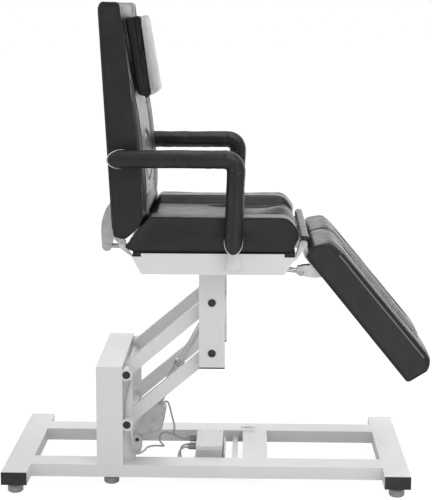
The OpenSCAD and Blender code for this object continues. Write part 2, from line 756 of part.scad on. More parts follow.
module anchor(at, y) for (y0 = [y - small_eye_w / 2 - side_play - hinge_t, y + small_eye_w / 2 + side_play])
    across(y0, y0 + hinge_t) {
        translate(at) circle(small_eye_r);
        translate([at[0] - small_eye_r, pan_z + pan_t]) square([2 * small_eye_r, at[1] - pan_z - pan_t]);
    }

module pan_brackets() color(paint) placed() {
    both_sides() {
        across(ear_out, ear_out + hinge_t) back_ear_outline();
        for (y = [lever_in[0] - side_play - hinge_t, lever_in[1] + hinge_t + side_play,
            short_y - side_play - hinge_t]) across(y, y + hinge_t) leg_ear_outline();
        across(pan_out, pan_out + flat_t) arm_bracket_outline();
        bar_across(seat_pivot, head_d, pan_out + flat_t, post_flat_in - gap);
        bar_across(seat_pivot, hinge_pin_d, pan_out, post_flat_in + flat_t + gap);
        bar_across(seat_pivot, head_d, post_flat_in + flat_t + gap, post_flat_in + flat_t + gap + head_t);
        anchor(leg_anchor, leg_drive_y);
        bar_across(leg_anchor, drive_pin_d, leg_drive_y - small_eye_w, leg_drive_y + small_eye_w);
    }
    anchor(back_anchor, 0);
    bar_across(back_anchor, drive_pin_d, -small_eye_w, small_eye_w);
}

module seat_board() color(wood) placed()
    translate([pan_lip[0] + board_inset, -seat_half + side_play, lip_z])
        cube([pan_lip[1] - pan_lip[0] - 2 * board_inset, 2 * (seat_half - side_play), board_t]);

// Seat cushion: side bolsters, a channel between them and a ridge between the thighs at the front
seat_press = function (y, p) let (
    side = smooth((seat_half - abs(y) - bolster_w * 0.6) / (bolster_w * 0.55)),
    ridge = smooth((p[0] / seat_len - ridge_from_share) / 0.2) * (1 - smooth(abs(y) / ridge_w)),
    top = smooth((p[1] / seat_t - 0.35) / 0.55)) [0, seat_dip * side * top * (1 - 0.8 * ridge)];

module seat_cushion() color(hide) placed() translate([seat_rear, 0, cushion_z])
    cushion(sized(seat_shares, seat_len, seat_t, seat_t), seat_half, seat_edge, 18, seat_press);

// The knee flap is a flat roll on a strip of leather that comes out from under the seat cushion
flap_r = 7.5;
flap_w = 9;
flap_from_share = 0.994;

module knee_flap() color(hide) placed() {
    flap_x = seat_rear + flap_from_share * seat_len;
    at = [leg_hinge[0], leg_hinge[1] + hinge_pin_d + 2 * side_play + flap_r];
    hull() both_sides() for (x = [at[0], at[0] + flap_w])
        translate([x, seat_half - flap_r, at[1]]) sphere(flap_r, $fn = 16);
    translate([flap_x, -seat_half + 2 * seat_edge, at[1] - side_play])
        cube([at[0] - flap_x, seat_w - 4 * seat_edge, 3 * side_play]);
}

// Lift drive, drawn along its axis from the foot pivot
module on_drive() translate([drive_foot[0], 0, drive_foot[1]]) rotate([0, -drive_tilt, 0]) children();

housing_shares = [[0.33, 0.04, 0.333], [0.545, -0.375, 0.361], [0.897, -0.222, 0.319], [0.88, 0, 0.25]];
housing_len = 136;
housing_w = 72;
tube_from = 60;

module housing_outline(less) hull() for (p = housing_shares)
    translate([p[0] * housing_len, p[1] * housing_w]) circle(p[2] * housing_w - less, $fn = hull_fn);

module lift_drive_housing() color(grey) placed() on_drive() difference() {
    union() {
        hull() {
            across(-drive_w / 2 + drive_w / 8, drive_w / 2 - drive_w / 8) housing_outline(0);
            across(-drive_w / 2, drive_w / 2) housing_outline(drive_w / 10);
        }
        bar_across([0, 0], 2 * eye_r - side_play, -eye_w / 2, eye_w / 2);
        across(-eye_w / 2, eye_w / 2) translate([0, side_play - eye_r])
            square([housing_len / 4, 2 * (eye_r - side_play)]);
    }
    bar_across([0, 0], drive_pin_d + 2 * fit, -drive_w, drive_w);
    across(-drive_w, -ear_in + side_play) circle(eye_r + 4 * side_play);
    across(ear_in - side_play, drive_w) circle(eye_r + 4 * side_play);
    translate([tube_from, 0, 0]) rotate([0, 90, 0]) cylinder(d = drive_tube_d, h = housing_len);
}

rod_from_share = 0.75;

module lift_drive_tube() color(steel) placed() on_drive() rotate([0, 90, 0]) difference() {
    union() {
        translate([0, 0, tube_from]) cylinder(d = drive_tube_d, h = drive_tube_len - tube_from);
        translate([0, 0, drive_tube_len - drive_tube_d / 2])
            cylinder(d = drive_tube_d + tube_wall, h = drive_tube_d / 2);
    }
    translate([0, 0, tube_from + tube_wall]) cylinder(d = drive_rod_d + 2 * gap, h = drive_tube_len);
}

// The rod's eye holds its own short pin, so it has no bore
module lift_drive_rod() color([0.75, 0.76, 0.78]) placed() on_drive() {
    rod_from = drive_tube_len * rod_from_share;
    translate([rod_from, 0, 0]) rotate([0, 90, 0]) cylinder(d = drive_rod_d, h = drive_len - rod_from);
    bar_across([drive_len, 0], 2 * eye_r, -eye_w / 2, eye_w / 2);
}

// Drives in the pan. Each is drawn from its anchor towards the pin that it pushes.
small_box_len = 52;
small_box_h = 34;
small_motor_d = 32;
small_motor_len = 60;

module on_line(from, to, y) {
    run = to - from;
    translate([from[0], y, from[1]]) rotate([0, -atan2(run[1], run[0]), 0]) children();
}

// A drive in the pan, whose motor lies beside it: side is 1 towards +Y and -1 towards -Y
module small_drive_body(from, to, y, tube_len, side) on_line(from, to, y) difference() {
    case_w = small_box_h * 1.9;
    union() {
        bar_across([0, 0], 2 * small_eye_r, -small_eye_w / 2, small_eye_w / 2);
        translate([0, -small_eye_w / 2, -small_eye_r])
            cube([2 * small_eye_r, small_eye_w, 2 * small_eye_r]);
        translate([1.5 * small_eye_r, side * case_w / 4 - case_w / 2, -small_box_h / 2])
            cube([small_box_len, case_w, small_box_h]);
        translate([small_box_len, 0, 0]) rotate([0, 90, 0])
            cylinder(d = small_tube_d, h = tube_len - small_box_len);
        translate([small_box_len, side * case_w / 2, 0]) rotate([0, 90, 0])
            cylinder(d = small_motor_d, h = small_motor_len);
    }
    bar_across([0, 0], drive_pin_d + 2 * fit, -small_eye_w, small_eye_w);
    translate([small_box_len, 0, 0]) rotate([0, 90, 0]) cylinder(d = small_rod_d + 2 * gap, h = tube_len);
}

// The rod's eye holds its own short pin, so it has no bore
module small_drive_rod(from, to, y, start, eye_width) on_line(from, to, y) {
    length = norm(to - from);
    translate([start, 0, 0]) rotate([0, 90, 0]) cylinder(d = small_rod_d, h = length - start);
    bar_across([length, 0], 2 * small_eye_r, -eye_width / 2, eye_width / 2);
}

module back_drive_body() color(grey) placed() small_drive_body(back_anchor, lever_pin, 0, back_tube_len, 1);

module back_drive_rod() color(steel) placed()
    small_drive_rod(back_anchor, lever_pin, 0, back_rod_from, lever_gap - 2 * side_play);

module leg_drive_body(s) color(grey) placed()
    small_drive_body(leg_anchor, leg_pin_at, s * leg_drive_y, leg_tube_len, -s);

module leg_drive_rod(s) color(steel) placed()
    small_drive_rod(leg_anchor, leg_pin_at, s * leg_drive_y, leg_rod_from, small_eye_w);

// Backrest, drawn upright from the lower front edge of its board
module on_back() translate([back_foot[0], 0, back_foot[1]]) rotate([0, -back_lean, 0]) children();

strap_hinge = along(-back_lean, hinge - back_foot);
strap_pin = along(-back_lean, lever_pin - back_foot);

module back_board() color(hide) placed() on_back() difference() {
    translate([-back_board_t, -seat_half + back_edge / 2, 0])
        cube([back_board_t, seat_w - back_edge, back_h - back_edge / 2]);
    both_sides() translate([-back_board_t - over, hinge_y, -over])
        cube([back_board_t + 2 * over, hinge_t, strap_h + over]);
}

// The back cushion is hollowed between its side bolsters
back_press = function (y, p) let (
    side = smooth((seat_half - abs(y) - bolster_w * 0.6) / (bolster_w * 0.7)),
    front = smooth((p[0] / back_t - 0.3) / 0.4),
    ends = smooth((p[1] / back_h - 0.04) / 0.1) * smooth((0.99 - p[1] / back_h) / 0.14))
    [back_dip * side * front * ends, 0];

module back_cushion() color(hide) placed() on_back()
    cushion(sized(back_shares, back_t, back_h, back_h), seat_half, back_edge, 18, back_press);

module back_hinge_straps() color(steel) placed() both_sides() {
    on_back() across(hinge_y, hinge_y + hinge_t) {
        translate(strap_hinge) circle(hinge_pin_d);
        polygon([[-back_board_t, strap_h], [-back_board_t, strap_hinge[1] / 2],
            strap_hinge - [hinge_pin_d, side_play], strap_hinge + [side_play, 0],
            [-side_play, strap_hinge[1] / 3], [-side_play, strap_h]]);
    }
    bar_across(hinge, hinge_pin_d, hinge_y, ear_out + hinge_t);
}

module back_lever() color(steel) placed() both_sides() {
    on_back() across(lever_gap / 2, lever_gap / 2 + hinge_t) {
        corner = [-back_board_t, 0];
        reach = strap_pin - corner;
        translate(strap_pin) circle(lever_r);
        polygon([for (p = lever_shares) corner + [p[0] * reach[0], p[1] * reach[1]]]);
    }
    bar_across(lever_pin, 2 * drive_pin_d, lever_gap / 2 + hinge_t, lever_gap / 2 + hinge_t + head_t);
}

// Studs on the back cushion's sides carry the level arms
module armrest_studs() color(steel) placed() both_sides() {
    bar_across(rest_pivot, head_d, seat_half, arm_flat_in - gap);
    bar_across(rest_pivot, hinge_pin_d, arm_flat_in - gap, arm_flat_in + flat_t + gap);
    bar_across(rest_pivot, head_d, arm_flat_in + flat_t + gap, arm_flat_in + flat_t + gap + head_t);
}

// Head pillow, drawn upright from its lower rear edge
module head_pillow() color(hide) placed() translate([hinge[0] + pillow_fwd, 0, hinge[1] + pillow_up])
    rotate([0, -pillow_lean, 0])
        cushion(sized(pillow_shares, pillow_t, pillow_h, pillow_h), pillow_w / 2, pillow_edge, 9, no_press);

no_press = function (y, p) [0, 0];

// Leg rests, drawn level from their hinge
module on_leg() translate([leg_hinge[0], 0, leg_hinge[1]]) rotate([0, leg_drop, 0]) children();

leg_board_top = leg_cushion_v;
leg_board_low = leg_board_top - leg_board_t;
leg_board_from = leg_len * 0.065;
leg_board_to = leg_len * 0.965;
short_reach = leg_len * 0.15;

// A leg cushion is crowned across, with a trough along its middle
leg_press = function (y, p) let (
    top = smooth((p[1] / leg_t - 0.4) / 0.5),
    trough = (1 - smooth(abs(y) / leg_groove_w)) * smooth((p[0] / leg_len - 0.15) / 0.25)
        * smooth((0.95 - p[0] / leg_len) / 0.2))
    [0, top * (leg_crown * pow(2 * y / leg_w, 2) + leg_groove * trough)];

module leg_cushion() color(hide) placed() on_leg() translate([0, (leg_split + leg_w) / 2, leg_cushion_v])
    cushion(sized(leg_shares, leg_len, leg_t, leg_t), leg_w / 2, leg_edge, 14, leg_press);

module leg_board() color(paint) placed() on_leg()
    translate([leg_board_from, leg_split / 2 + leg_edge, leg_board_low])
        cube([leg_board_to - leg_board_from, leg_w - 2 * leg_edge, leg_board_t]);

// Two long lever plates at the drive and a short hinge plate near the chair's middle
leg_lever_shares = [[0.53, -0.67], [0.617, -0.479], [0.775, -0.24], [1.35, -0.24], [1.33, -0.26],
    [1.21, -0.44], [1.045, -0.61], [0.847, -0.76], [0.76, -0.83], [0.66, -0.86]];
strap_t = 4;

module lever_outline() {
    translate(leg_pin) circle(0.9 * hinge_pin_d);
    circle(0.8 * hinge_pin_d);
    polygon(leg_lever_shares * leg_lever);
    polygon([[0, -0.8 * hinge_pin_d], [leg_board_from, leg_board_low - strap_t],
        [leg_lever_shares[3][0] * leg_lever, leg_board_low - strap_t],
        [leg_lever_shares[3][0] * leg_lever, leg_board_low], [leg_board_from - side_play, leg_board_low],
        [leg_board_from - side_play, leg_board_top], [0, 0.8 * hinge_pin_d]]);
}

module short_hinge_outline() {
    circle(hinge_pin_d);
    polygon([[0, -hinge_pin_d], [short_reach, leg_board_low - hinge_pin_d], [short_reach, leg_board_low],
        [leg_board_from, leg_board_low], [leg_board_from - 2 * side_play, leg_board_top],
        [0, hinge_pin_d / 2]]);
}

module leg_lever() color(steel) placed() {
    on_leg() {
        across(lever_in[0], lever_in[0] + hinge_t) lever_outline();
        across(lever_in[1], lever_in[1] + hinge_t) lever_outline();
        across(short_y, short_y + hinge_t) short_hinge_outline();
    }
    bar_across(leg_hinge, hinge_pin_d, lever_in[0] - side_play - hinge_t,
        lever_in[1] + 2 * hinge_t + side_play);
    bar_across(leg_hinge, hinge_pin_d, short_y - side_play - hinge_t, short_y + hinge_t);
    bar_across(leg_pin_at, 2 * drive_pin_d, lever_in[1] + hinge_t, lever_in[1] + hinge_t + head_t);
    bar_across(leg_pin_at, 2 * drive_pin_d, lever_in[0] - head_t, lever_in[0]);
}

// Armrests. The level arm and the post are padded rolls on flat bars.
module arm_flat_outline(from, to) difference() {
    link_outline(from, to, flat_w);
    translate(from) circle(hinge_pin_d / 2 + fit);
}

module arm_bar() color(steel) placed() {
    across(arm_flat_in, arm_flat_in + flat_t) arm_flat_outline(rest_pivot, rest_corner);
    bar_across(rest_corner, head_d, arm_flat_in - head_t, arm_flat_in);
}

module post_bar() color(steel) placed()
    across(post_flat_in, post_flat_in + flat_t) arm_flat_outline(seat_pivot, rest_corner);

// A roll from local x = -tail to x = length, cut obliquely at its tail
module roll(tail, length) difference() {
    translate([-tail, roll_y, 0]) rotate([0, 90, 0]) cylinder(d = roll_d, h = tail + length);
    translate([-tail, 0, -roll_d]) linear_extrude(2 * roll_d)
        polygon([[-over, roll_in - over], [bevel_run, roll_in], [0, roll_in + roll_d],
            [-over, roll_in + roll_d]]);
}

module arm_roll() color(hide) placed() difference() {
    translate([rest_pivot[0], 0, rest_pivot[1]]) roll(rest_tail, rest_len - roll_d / 4);
    translate([rest_corner[0], roll_y, rest_corner[1]]) {
        sphere(d = roll_d + 4 * gap);
        rotate([0, 180 + post_lean, 0]) cylinder(d = roll_d + 4 * gap, h = roll_d);
    }
    across(roll_in - over, arm_flat_in + flat_t) link_outline(rest_pivot, rest_corner, flat_w);
}

module post_roll() color(hide) placed() difference() {
    union() {
        translate([seat_pivot[0], 0, seat_pivot[1]]) rotate([0, post_lean - 90, 0])
            roll(post_tail, post_run);
        translate([rest_corner[0], roll_y, rest_corner[1]]) sphere(d = roll_d);
    }
    across(post_flat_in, post_flat_in + flat_t) link_outline(seat_pivot, rest_corner, flat_w);
    bar_across(rest_corner, roll_d + 4 * gap, roll_in - over, post_flat_in - side_play / 4);
}

base_rails();
end_crossmembers();
inner_crossmembers();
crossmember_end_caps();
levelling_feet();
tower_posts();
tower_top_member();
pivot_plates();
drive_foot_bracket();
tower_pivot_shafts();
tower_pivot_caps();
control_box_case();
control_box_lid();
control_box_tray();
control_box_plugs();
motor_lead();
seat_leads();
upper_arm_bars();
upper_hub_tubes();
lower_arm_bars();
lower_hub_tubes();
seat_columns();
column_caps();
column_crossbar();
column_pivot_shafts();
seat_pan();
pan_brackets();
seat_board();
seat_cushion();
knee_flap();
lift_drive_housing();
lift_drive_tube();
lift_drive_rod();
back_drive_body();
back_drive_rod();
leg_drive_body(1);  // left_leg_drive_body
leg_drive_rod(1);  // left_leg_drive_rod
leg_drive_body(-1);  // right_leg_drive_body
leg_drive_rod(-1);  // right_leg_drive_rod
back_board();
back_cushion();
back_hinge_straps();
back_lever();
armrest_studs();
head_pillow();
leg_board();  // left_leg_board
leg_cushion();  // left_leg_cushion
leg_lever();  // left_leg_lever
mirror([0, 1, 0]) leg_board();  // right_leg_board
mirror([0, 1, 0]) leg_cushion();  // right_leg_cushion
mirror([0, 1, 0]) leg_lever();  // right_leg_lever
arm_roll();  // left_arm_roll
arm_bar();  // left_arm_bar
post_roll();  // left_post_roll
post_bar();  // left_post_bar
mirror([0, 1, 0]) arm_roll();  // right_arm_roll
mirror([0, 1, 0]) arm_bar();  // right_arm_bar
mirror([0, 1, 0]) post_roll();  // right_post_roll
mirror([0, 1, 0]) post_bar();  // right_post_bar
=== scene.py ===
"""Looks of the podiatry chair: leather cushions, enamelled steel, drives, leads, floor and light."""

import json
import math

import bmesh
import bpy
import numpy as np
from mathutils import Matrix, Vector, noise
from mathutils.bvhtree import BVHTree


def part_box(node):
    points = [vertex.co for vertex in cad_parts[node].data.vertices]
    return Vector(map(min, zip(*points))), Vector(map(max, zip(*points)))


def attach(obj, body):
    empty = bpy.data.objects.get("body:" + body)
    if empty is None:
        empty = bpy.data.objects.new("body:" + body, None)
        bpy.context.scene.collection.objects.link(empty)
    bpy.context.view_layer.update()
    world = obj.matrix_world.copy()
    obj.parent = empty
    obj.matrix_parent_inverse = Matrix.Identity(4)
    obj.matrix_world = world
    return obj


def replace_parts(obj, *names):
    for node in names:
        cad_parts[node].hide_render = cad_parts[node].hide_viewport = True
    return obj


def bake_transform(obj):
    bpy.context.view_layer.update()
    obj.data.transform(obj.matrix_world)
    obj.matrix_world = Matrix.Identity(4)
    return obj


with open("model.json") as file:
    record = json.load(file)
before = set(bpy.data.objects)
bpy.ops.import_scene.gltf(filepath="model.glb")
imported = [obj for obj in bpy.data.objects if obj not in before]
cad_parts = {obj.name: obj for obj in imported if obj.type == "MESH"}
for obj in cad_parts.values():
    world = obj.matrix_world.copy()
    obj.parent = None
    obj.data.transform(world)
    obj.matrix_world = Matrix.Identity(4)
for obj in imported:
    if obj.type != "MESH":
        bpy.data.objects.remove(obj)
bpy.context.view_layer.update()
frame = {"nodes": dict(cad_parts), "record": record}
MM = 0.001

# Places in millimetres, from the rear end of the base, as the solids have them
ORIGIN_X = 656.618
HINGE = (379.092, 784.537)
LEG_HINGE = (926.092, 783.537)
REST_PIVOT = (388.092, 1044.537)
REST_CORNER = (725.092, 1044.537)
SEAT_PIVOT = (716.092, 784.537)
ROLL_Y = 310.0
PADDED_R = 27.3


def at(x, y, z):
    """A point in metres, from millimetres counted from the rear end of the base."""
    return Vector(((x - ORIGIN_X) * MM, y * MM, z * MM))


def on(place, x, y, z):
    """A point in metres, from millimetres in the frame of a place."""
    return place @ (Vector((x, y, z)) * MM)


def smooth(t):
    t = max(0.0, min(1.0, t))
    return t * t * (3 - 2 * t)


def placed(name, data):
    """A new object in the scene."""
    item = bpy.data.objects.new(name, data)
    bpy.context.scene.collection.objects.link(item)
    return item


# Camera

def add_camera():
    data = bpy.data.cameras.new("camera")
    data.sensor_width = 36
    data.lens = 95.48
    data.shift_x = 0.02695
    data.shift_y = -0.01302
    data.clip_end = 100
    camera = placed("camera", data)
    camera.location = (0.1017, -4.1887, 1.4806)
    camera.rotation_euler = (math.radians(79.963), 0, math.radians(1.975))
    bpy.context.scene.camera = camera


# Materials

def nodes_of(name):
    material = bpy.data.materials.new(name)
    material.use_nodes = True
    tree = material.node_tree
    return material, tree, tree.nodes["Principled BSDF"]


def texture(tree, kind, scale, **settings):
    """A procedural texture in the object's own coordinates, which are metres."""
    place = tree.nodes.new("ShaderNodeTexCoord")
    out = tree.nodes.new(kind)
    out.inputs["Scale"].default_value = scale
    for key, value in settings.items():
        if key in out.inputs:
            out.inputs[key].default_value = value
        else:
            setattr(out, key, value)
    tree.links.new(place.outputs["Object"], out.inputs["Vector"])
    return out


def vary_colour(tree, shader, dark, light, scale):
    """Base colour that drifts between two close colours."""
    cloud = texture(tree, "ShaderNodeTexNoise", scale, Detail=4.0)
    ramp = tree.nodes.new("ShaderNodeValToRGB")
    for stop, position, colour in zip(ramp.color_ramp.elements, (0.35, 0.65), (dark, light)):
        stop.position = position
        stop.color = (*colour, 1)
    tree.links.new(cloud.outputs["Fac"], ramp.inputs["Fac"])
    tree.links.new(ramp.outputs["Color"], shader.inputs["Base Color"])


def vary_roughness(tree, shader, low, high, scale):
    cloud = texture(tree, "ShaderNodeTexNoise", scale, Detail=3.0)
    spread = tree.nodes.new("ShaderNodeMapRange")
    spread.inputs["To Min"].default_value = low
    spread.inputs["To Max"].default_value = high
    tree.links.new(cloud.outputs["Fac"], spread.inputs["Value"])
    tree.links.new(spread.outputs["Result"], shader.inputs["Roughness"])


def add_bump(tree, shader, height, distance, strength, before=None):
    bump = tree.nodes.new("ShaderNodeBump")
    bump.inputs["Strength"].default_value = strength
    bump.inputs["Distance"].default_value = distance
    tree.links.new(height, bump.inputs["Height"])
    if before is not None:
        tree.links.new(before.outputs["Normal"], bump.inputs["Normal"])
    tree.links.new(bump.outputs["Normal"], shader.inputs["Normal"])
    return bump


def roughen(tree, shader, scale, distance, strength):
    """Fine unevenness all over."""
    fine = texture(tree, "ShaderNodeTexNoise", scale, Detail=2.0)
    add_bump(tree, shader, fine.outputs["Fac"], distance, strength)


def drifting(name, dark, light, cloud, rough, patch):
    """A new material whose colour and roughness drift, on clouds of two scales."""
    material, tree, shader = nodes_of(name)
    vary_colour(tree, shader, dark, light, cloud)
    vary_roughness(tree, shader, *rough, patch)
    return material, tree, shader


def grey(level):
    return (level, level, level)


def leather(name="leather", dark=0.009, light=0.015, rough=(0.36, 0.56)):
    """Black upholstery leather with a pebbled grain and soft creases."""
    material, tree, shader = drifting(name, grey(dark), grey(light), 14, rough, 22)
    shader.inputs["Specular IOR Level"].default_value = 0.44
    creases = texture(tree, "ShaderNodeTexNoise", 26, Detail=3.0, Distortion=0.8)
    grain = texture(tree, "ShaderNodeTexVoronoi", 620, feature="SMOOTH_F1")
    first = add_bump(tree, shader, creases.outputs["Fac"], 0.0025, 0.4)
    add_bump(tree, shader, grain.outputs["Distance"], 0.0001, 0.5, first)
    return material


def enamel():
    """White powder coat with a fine orange peel."""
    material, tree, shader = drifting("white_enamel", grey(0.69), grey(0.75), 3, (0.32, 0.46), 30)
    roughen(tree, shader, 520, 0.0004, 0.25)
    return material


def metal(name, dark, light, rough, scratch=0.2):
    material, tree, shader = drifting(name, dark, light, 40, rough, 90)
    shader.inputs["Metallic"].default_value = 1.0
    roughen(tree, shader, 900, 0.0003, scratch)
    return material


def plastic(name, dark, light, rough=(0.4, 0.55), grain=1100, depth=0.0003):
    material, tree, shader = drifting(name, dark, light, 25, rough, 60)
    roughen(tree, shader, grain, depth, 0.4)
    return material


def board_cloth():
    """Black dust cloth stapled over the boards: a fine square weave."""
    dark, light = (0.014, 0.014, 0.015), (0.026, 0.026, 0.028)
    material, tree, shader = drifting("board_cloth", dark, light, 30, (0.7, 0.85), 60)
    warp = texture(tree, "ShaderNodeTexWave", 420, bands_direction="Z")
    weft = texture(tree, "ShaderNodeTexWave", 420, bands_direction="Y")
    first = add_bump(tree, shader, warp.outputs["Fac"], 0.0004, 0.4)
    add_bump(tree, shader, weft.outputs["Fac"], 0.0004, 0.4, first)
    return material


add_camera()

LEATHER = leather()
PIPING = leather("leather_piping", 0.007, 0.012)
# Welts on the leg rests: a lighter leather whose colour is painted highlight, standing in for the glint of
# light along the piping
WELT_PAINTED_HIGHLIGHT = leather("leather_welt", 0.13, 0.18, (0.25, 0.4))
PILLOW_LEATHER = leather("leather_pillow", rough=(0.31, 0.45))
THREAD = plastic("thread", (0.012, 0.012, 0.013), (0.03, 0.03, 0.032), (0.5, 0.7), 2500, 0.0002)
ENAMEL = enamel()
ZINC = metal("zinc_plate", (0.50, 0.50, 0.51), (0.60, 0.60, 0.61), (0.35, 0.5))
CHROME = metal("rod_steel", (0.52, 0.52, 0.53), (0.60, 0.60, 0.61), (0.3, 0.42), 0.05)
BLACK_PLASTIC = plastic("black_plastic", (0.012, 0.012, 0.013), (0.022, 0.022, 0.024))
GREY_PLASTIC = plastic("grey_plastic", grey(0.54), grey(0.61))
LID_PLASTIC = plastic("lid_plastic", grey(0.74), grey(0.79))
FOOT_PLASTIC = plastic("foot_plastic", grey(0.26), grey(0.33), (0.5, 0.65))
PLUG_PLASTIC = plastic("plug_plastic", grey(0.26), grey(0.33), (0.45, 0.6))
CABLE = plastic("cable_jacket", grey(0.42), grey(0.48), (0.45, 0.6))
TRIM = plastic("edge_trim", (0.55, 0.55, 0.54), (0.63, 0.63, 0.62), (0.3, 0.45))
BOARD = board_cloth()

SLOT_MATERIALS = {
    "paint": ENAMEL,
    "leather": LEATHER,
    "board": BOARD,
    "black_plastic": BLACK_PLASTIC,
    "grey_plastic": GREY_PLASTIC,
    "light_plastic": LID_PLASTIC,
    "cable": CABLE,
    "rod": CHROME,
    "steel": ZINC,
}
SLOT_OF = {material.name: slot for slot, material in SLOT_MATERIALS.items()}
SLOT_OF.update(leather_piping="leather", leather_welt="leather", thread="leather", edge_trim="light_plastic",
               plug_plastic="black_plastic")

FRAME_TUBES = ("base_rails", "crossmembers", "tower_posts", "top_member", "seat_columns", "crossbar")
TUBE_EDGE = 0.003
PLAIN_EDGE = 0.0008


def dress_nodes():
    """Each CAD node gets its slot's material and softly broken edges."""
    for part in frame["record"]["subparts"]:
        node = frame["nodes"][part["node"]]
        material = SLOT_MATERIALS[part["material_slot"]]
        if part["node"] == "levelling_feet":
            material = FOOT_PLASTIC
        if part["node"] == "control_box_plugs":
            material = PLUG_PLASTIC
        node.data.materials.clear()
        node.data.materials.append(material)
        bevel = node.modifiers.new("edges", "BEVEL")
        is_tube = any(word in part["node"] for word in FRAME_TUBES)
        bevel.width = TUBE_EDGE if is_tube else PLAIN_EDGE
        bevel.segments = 3 if is_tube else 2
        bevel.limit_method = "ANGLE"
        bevel.angle_limit = math.radians(50)
        bevel.harden_normals = True


dress_nodes()


# Mesh building

SIDES = (("left", 1), ("right", -1))


def dressed(name, mesh, material):
    """A new object in the scene, of a mesh in one material."""
    mesh.materials.append(material)
    return placed(name, mesh)


def shade(mesh, smoothly=True):
    mesh.polygons.foreach_set("use_smooth", [smoothly] * len(mesh.polygons))


def built(name, work, material, body):
    """A piece from a mesh that was put together in work."""
    mesh = bpy.data.meshes.new(name)
    work.to_mesh(mesh)
    work.free()
    piece = dressed(name, mesh, material)
    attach(piece, body)
    return piece


def add_piece(name, verts, faces, material, body, smoothly=True):
    mesh = bpy.data.meshes.new(name)
    mesh.from_pydata([tuple(v) for v in verts], [], faces)
    mesh.update()
    piece = dressed(name, mesh, material)
    shade(mesh, smoothly)
    if body:
        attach(piece, body)
    return piece


def ring_faces(rows, sides, start=0):
    """Quads between rings of vertices that follow each other, and the two end caps."""
    faces = []
    for low in range(start, start + (rows - 1) * sides, sides):
        for i in range(sides):
            t = (i + 1) % sides
            faces.append((low + i, low + t, low + sides + t, low + sides + i))
    last = start + (rows - 1) * sides
    return faces + [tuple(start + i for i in reversed(range(sides))), tuple(last + i for i in range(sides))]


def flipped(faces):
    return [tuple(reversed(face)) for face in faces]


def around(sides):
    """The angles of the corners of a ring."""
    return [2 * math.pi * i / sides for i in range(sides)]


def tube(name, path, radius, material, body, sides=8, closed=False):
    """A round tube along points in metres."""
    count = len(path)
    verts = []
    up = None
    for i, p in enumerate(path):
        a = path[i - 1] if (i or closed) else path[0]
        b = path[(i + 1) % count] if (i < count - 1 or closed) else path[-1]
        along = (b - a).normalized()
        if up is None:
            up = along.cross(Vector((0.13, 0.97, 0.21))).normalized()
        up = (up - along * up.dot(along)).normalized()
        side = along.cross(up)
        verts += [p + radius * (math.cos(turn) * up + math.sin(turn) * side) for turn in around(sides)]
    faces = ring_faces(count, sides)
    if closed:
        last = (count - 1) * sides
        faces[-2:] = [(last + s, last + (s + 1) % sides, (s + 1) % sides, s) for s in range(sides)]
    return add_piece(name, verts, faces, material, body)


def revolve(name, profile, centre, axis, material, body, sides):
    """A turned piece: profile is [(radius, height along axis), ...] in millimetres."""
    axis = Vector(axis).normalized()
    first = axis.orthogonal().normalized()
    second = axis.cross(first)
    verts = [centre + axis * height * MM + (first * math.cos(turn) + second * math.sin(turn)) * radius * MM
             for radius, height in profile for turn in around(sides)]
    return add_piece(name, verts, ring_faces(len(profile), sides), material, body)


# Leads. The routes repeat the solids' points, in millimetres.

PLUG_X = 571.0
PLUG_Z = 68.0
LEAD_D = 6.0
PLATE_FACE = 190.3
MOTOR_ROUTE = [(487, 0, 205.8), (492.4, 0, 211.9), (500, -1, 210), (506, 1, 194), (511, 5, 170),
               (517, 10, 144), (521, 15, 119), (518, 22, 99), (530, 32, 84), (549, 40, 73),
               (PLUG_X, 44, PLUG_Z)]
TOWER_ROUTE = [(PLUG_X, 66, PLUG_Z), (549, 62, 68), (530, 56, 76), (508, 50, 86), (492, 46, 92), (480, 42, 91),
               (471, 41, 81), (470, 40, 65), (478, 38, 54), (484, 30, 50), (476, 22, 52), (452, 14, 55),
               (432, 0, 54), (425, -30, 54), (416, -62, 57), (410, -92, 65), (406, -126, 78), (405, -165, 84),
               (406.5, -187, 89), (402, -PLATE_FACE, 98), (398.4, -PLATE_FACE, 110), (394, -PLATE_FACE, 141),
               (392, -PLATE_FACE, 156), (390.5, -186, 165)]
PLATE_ROUTE = [(377, -186, 227), (377, -PLATE_FACE, 236), (379, -PLATE_FACE, 267), (386, -PLATE_FACE, 300),
               (392, -PLATE_FACE, 326), (393.5, -186, 336)]
RAIL_ROUTE = [(PLUG_X, -36, PLUG_Z), (559, -40, 70), (546, -47, 65), (539, -57, 54), (539, -80, 42),
              (546, -110, 39), (554, -139, 44)]
SECOND_RAIL_ROUTE = [(PLUG_X, -8, PLUG_Z), (557, -12, 69), (545, -20, 62), (542, -34, 48), (548, -62, 38),
                     (557, -100, 36), (564, -139, 42)]


def route(points):
    """The smooth curve through listed points."""
    steps = 8
    pts = [Vector(p) for p in points]
    out = []
    for i in range(len(pts) - 1):
        a, b, c, d = pts[max(0, i - 1)], pts[i], pts[i + 1], pts[min(len(pts) - 1, i + 2)]
        for s in range(steps):
            t = s / steps
            out.append(b + (c - a) * t / 2 + (2 * a - 5 * b + 4 * c - d) * t * t / 2
                       + (3 * b - a - 3 * c + d) * t ** 3 / 2)
    out.append(pts[-1])
    return [at(*p) for p in out]


def add_lead(name, points, node, body):
    path = route(points)
    piece = tube(name, path, LEAD_D / 2 * MM, CABLE, body, sides=12)
    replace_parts(piece, node)
    return piece


motor_lead = add_lead("motor_lead_cord", MOTOR_ROUTE, "motor_lead", None)
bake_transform(motor_lead)
for word, points in (("tower", TOWER_ROUTE), ("plate", PLATE_ROUTE), ("rail", RAIL_ROUTE),
                     ("second_rail", SECOND_RAIL_ROUTE)):
    add_lead(f"{word}_lead_cord", points, "seat_leads", "base")


# Upholstery. Each cushion is lofted across the chair from a side outline in millimetres.

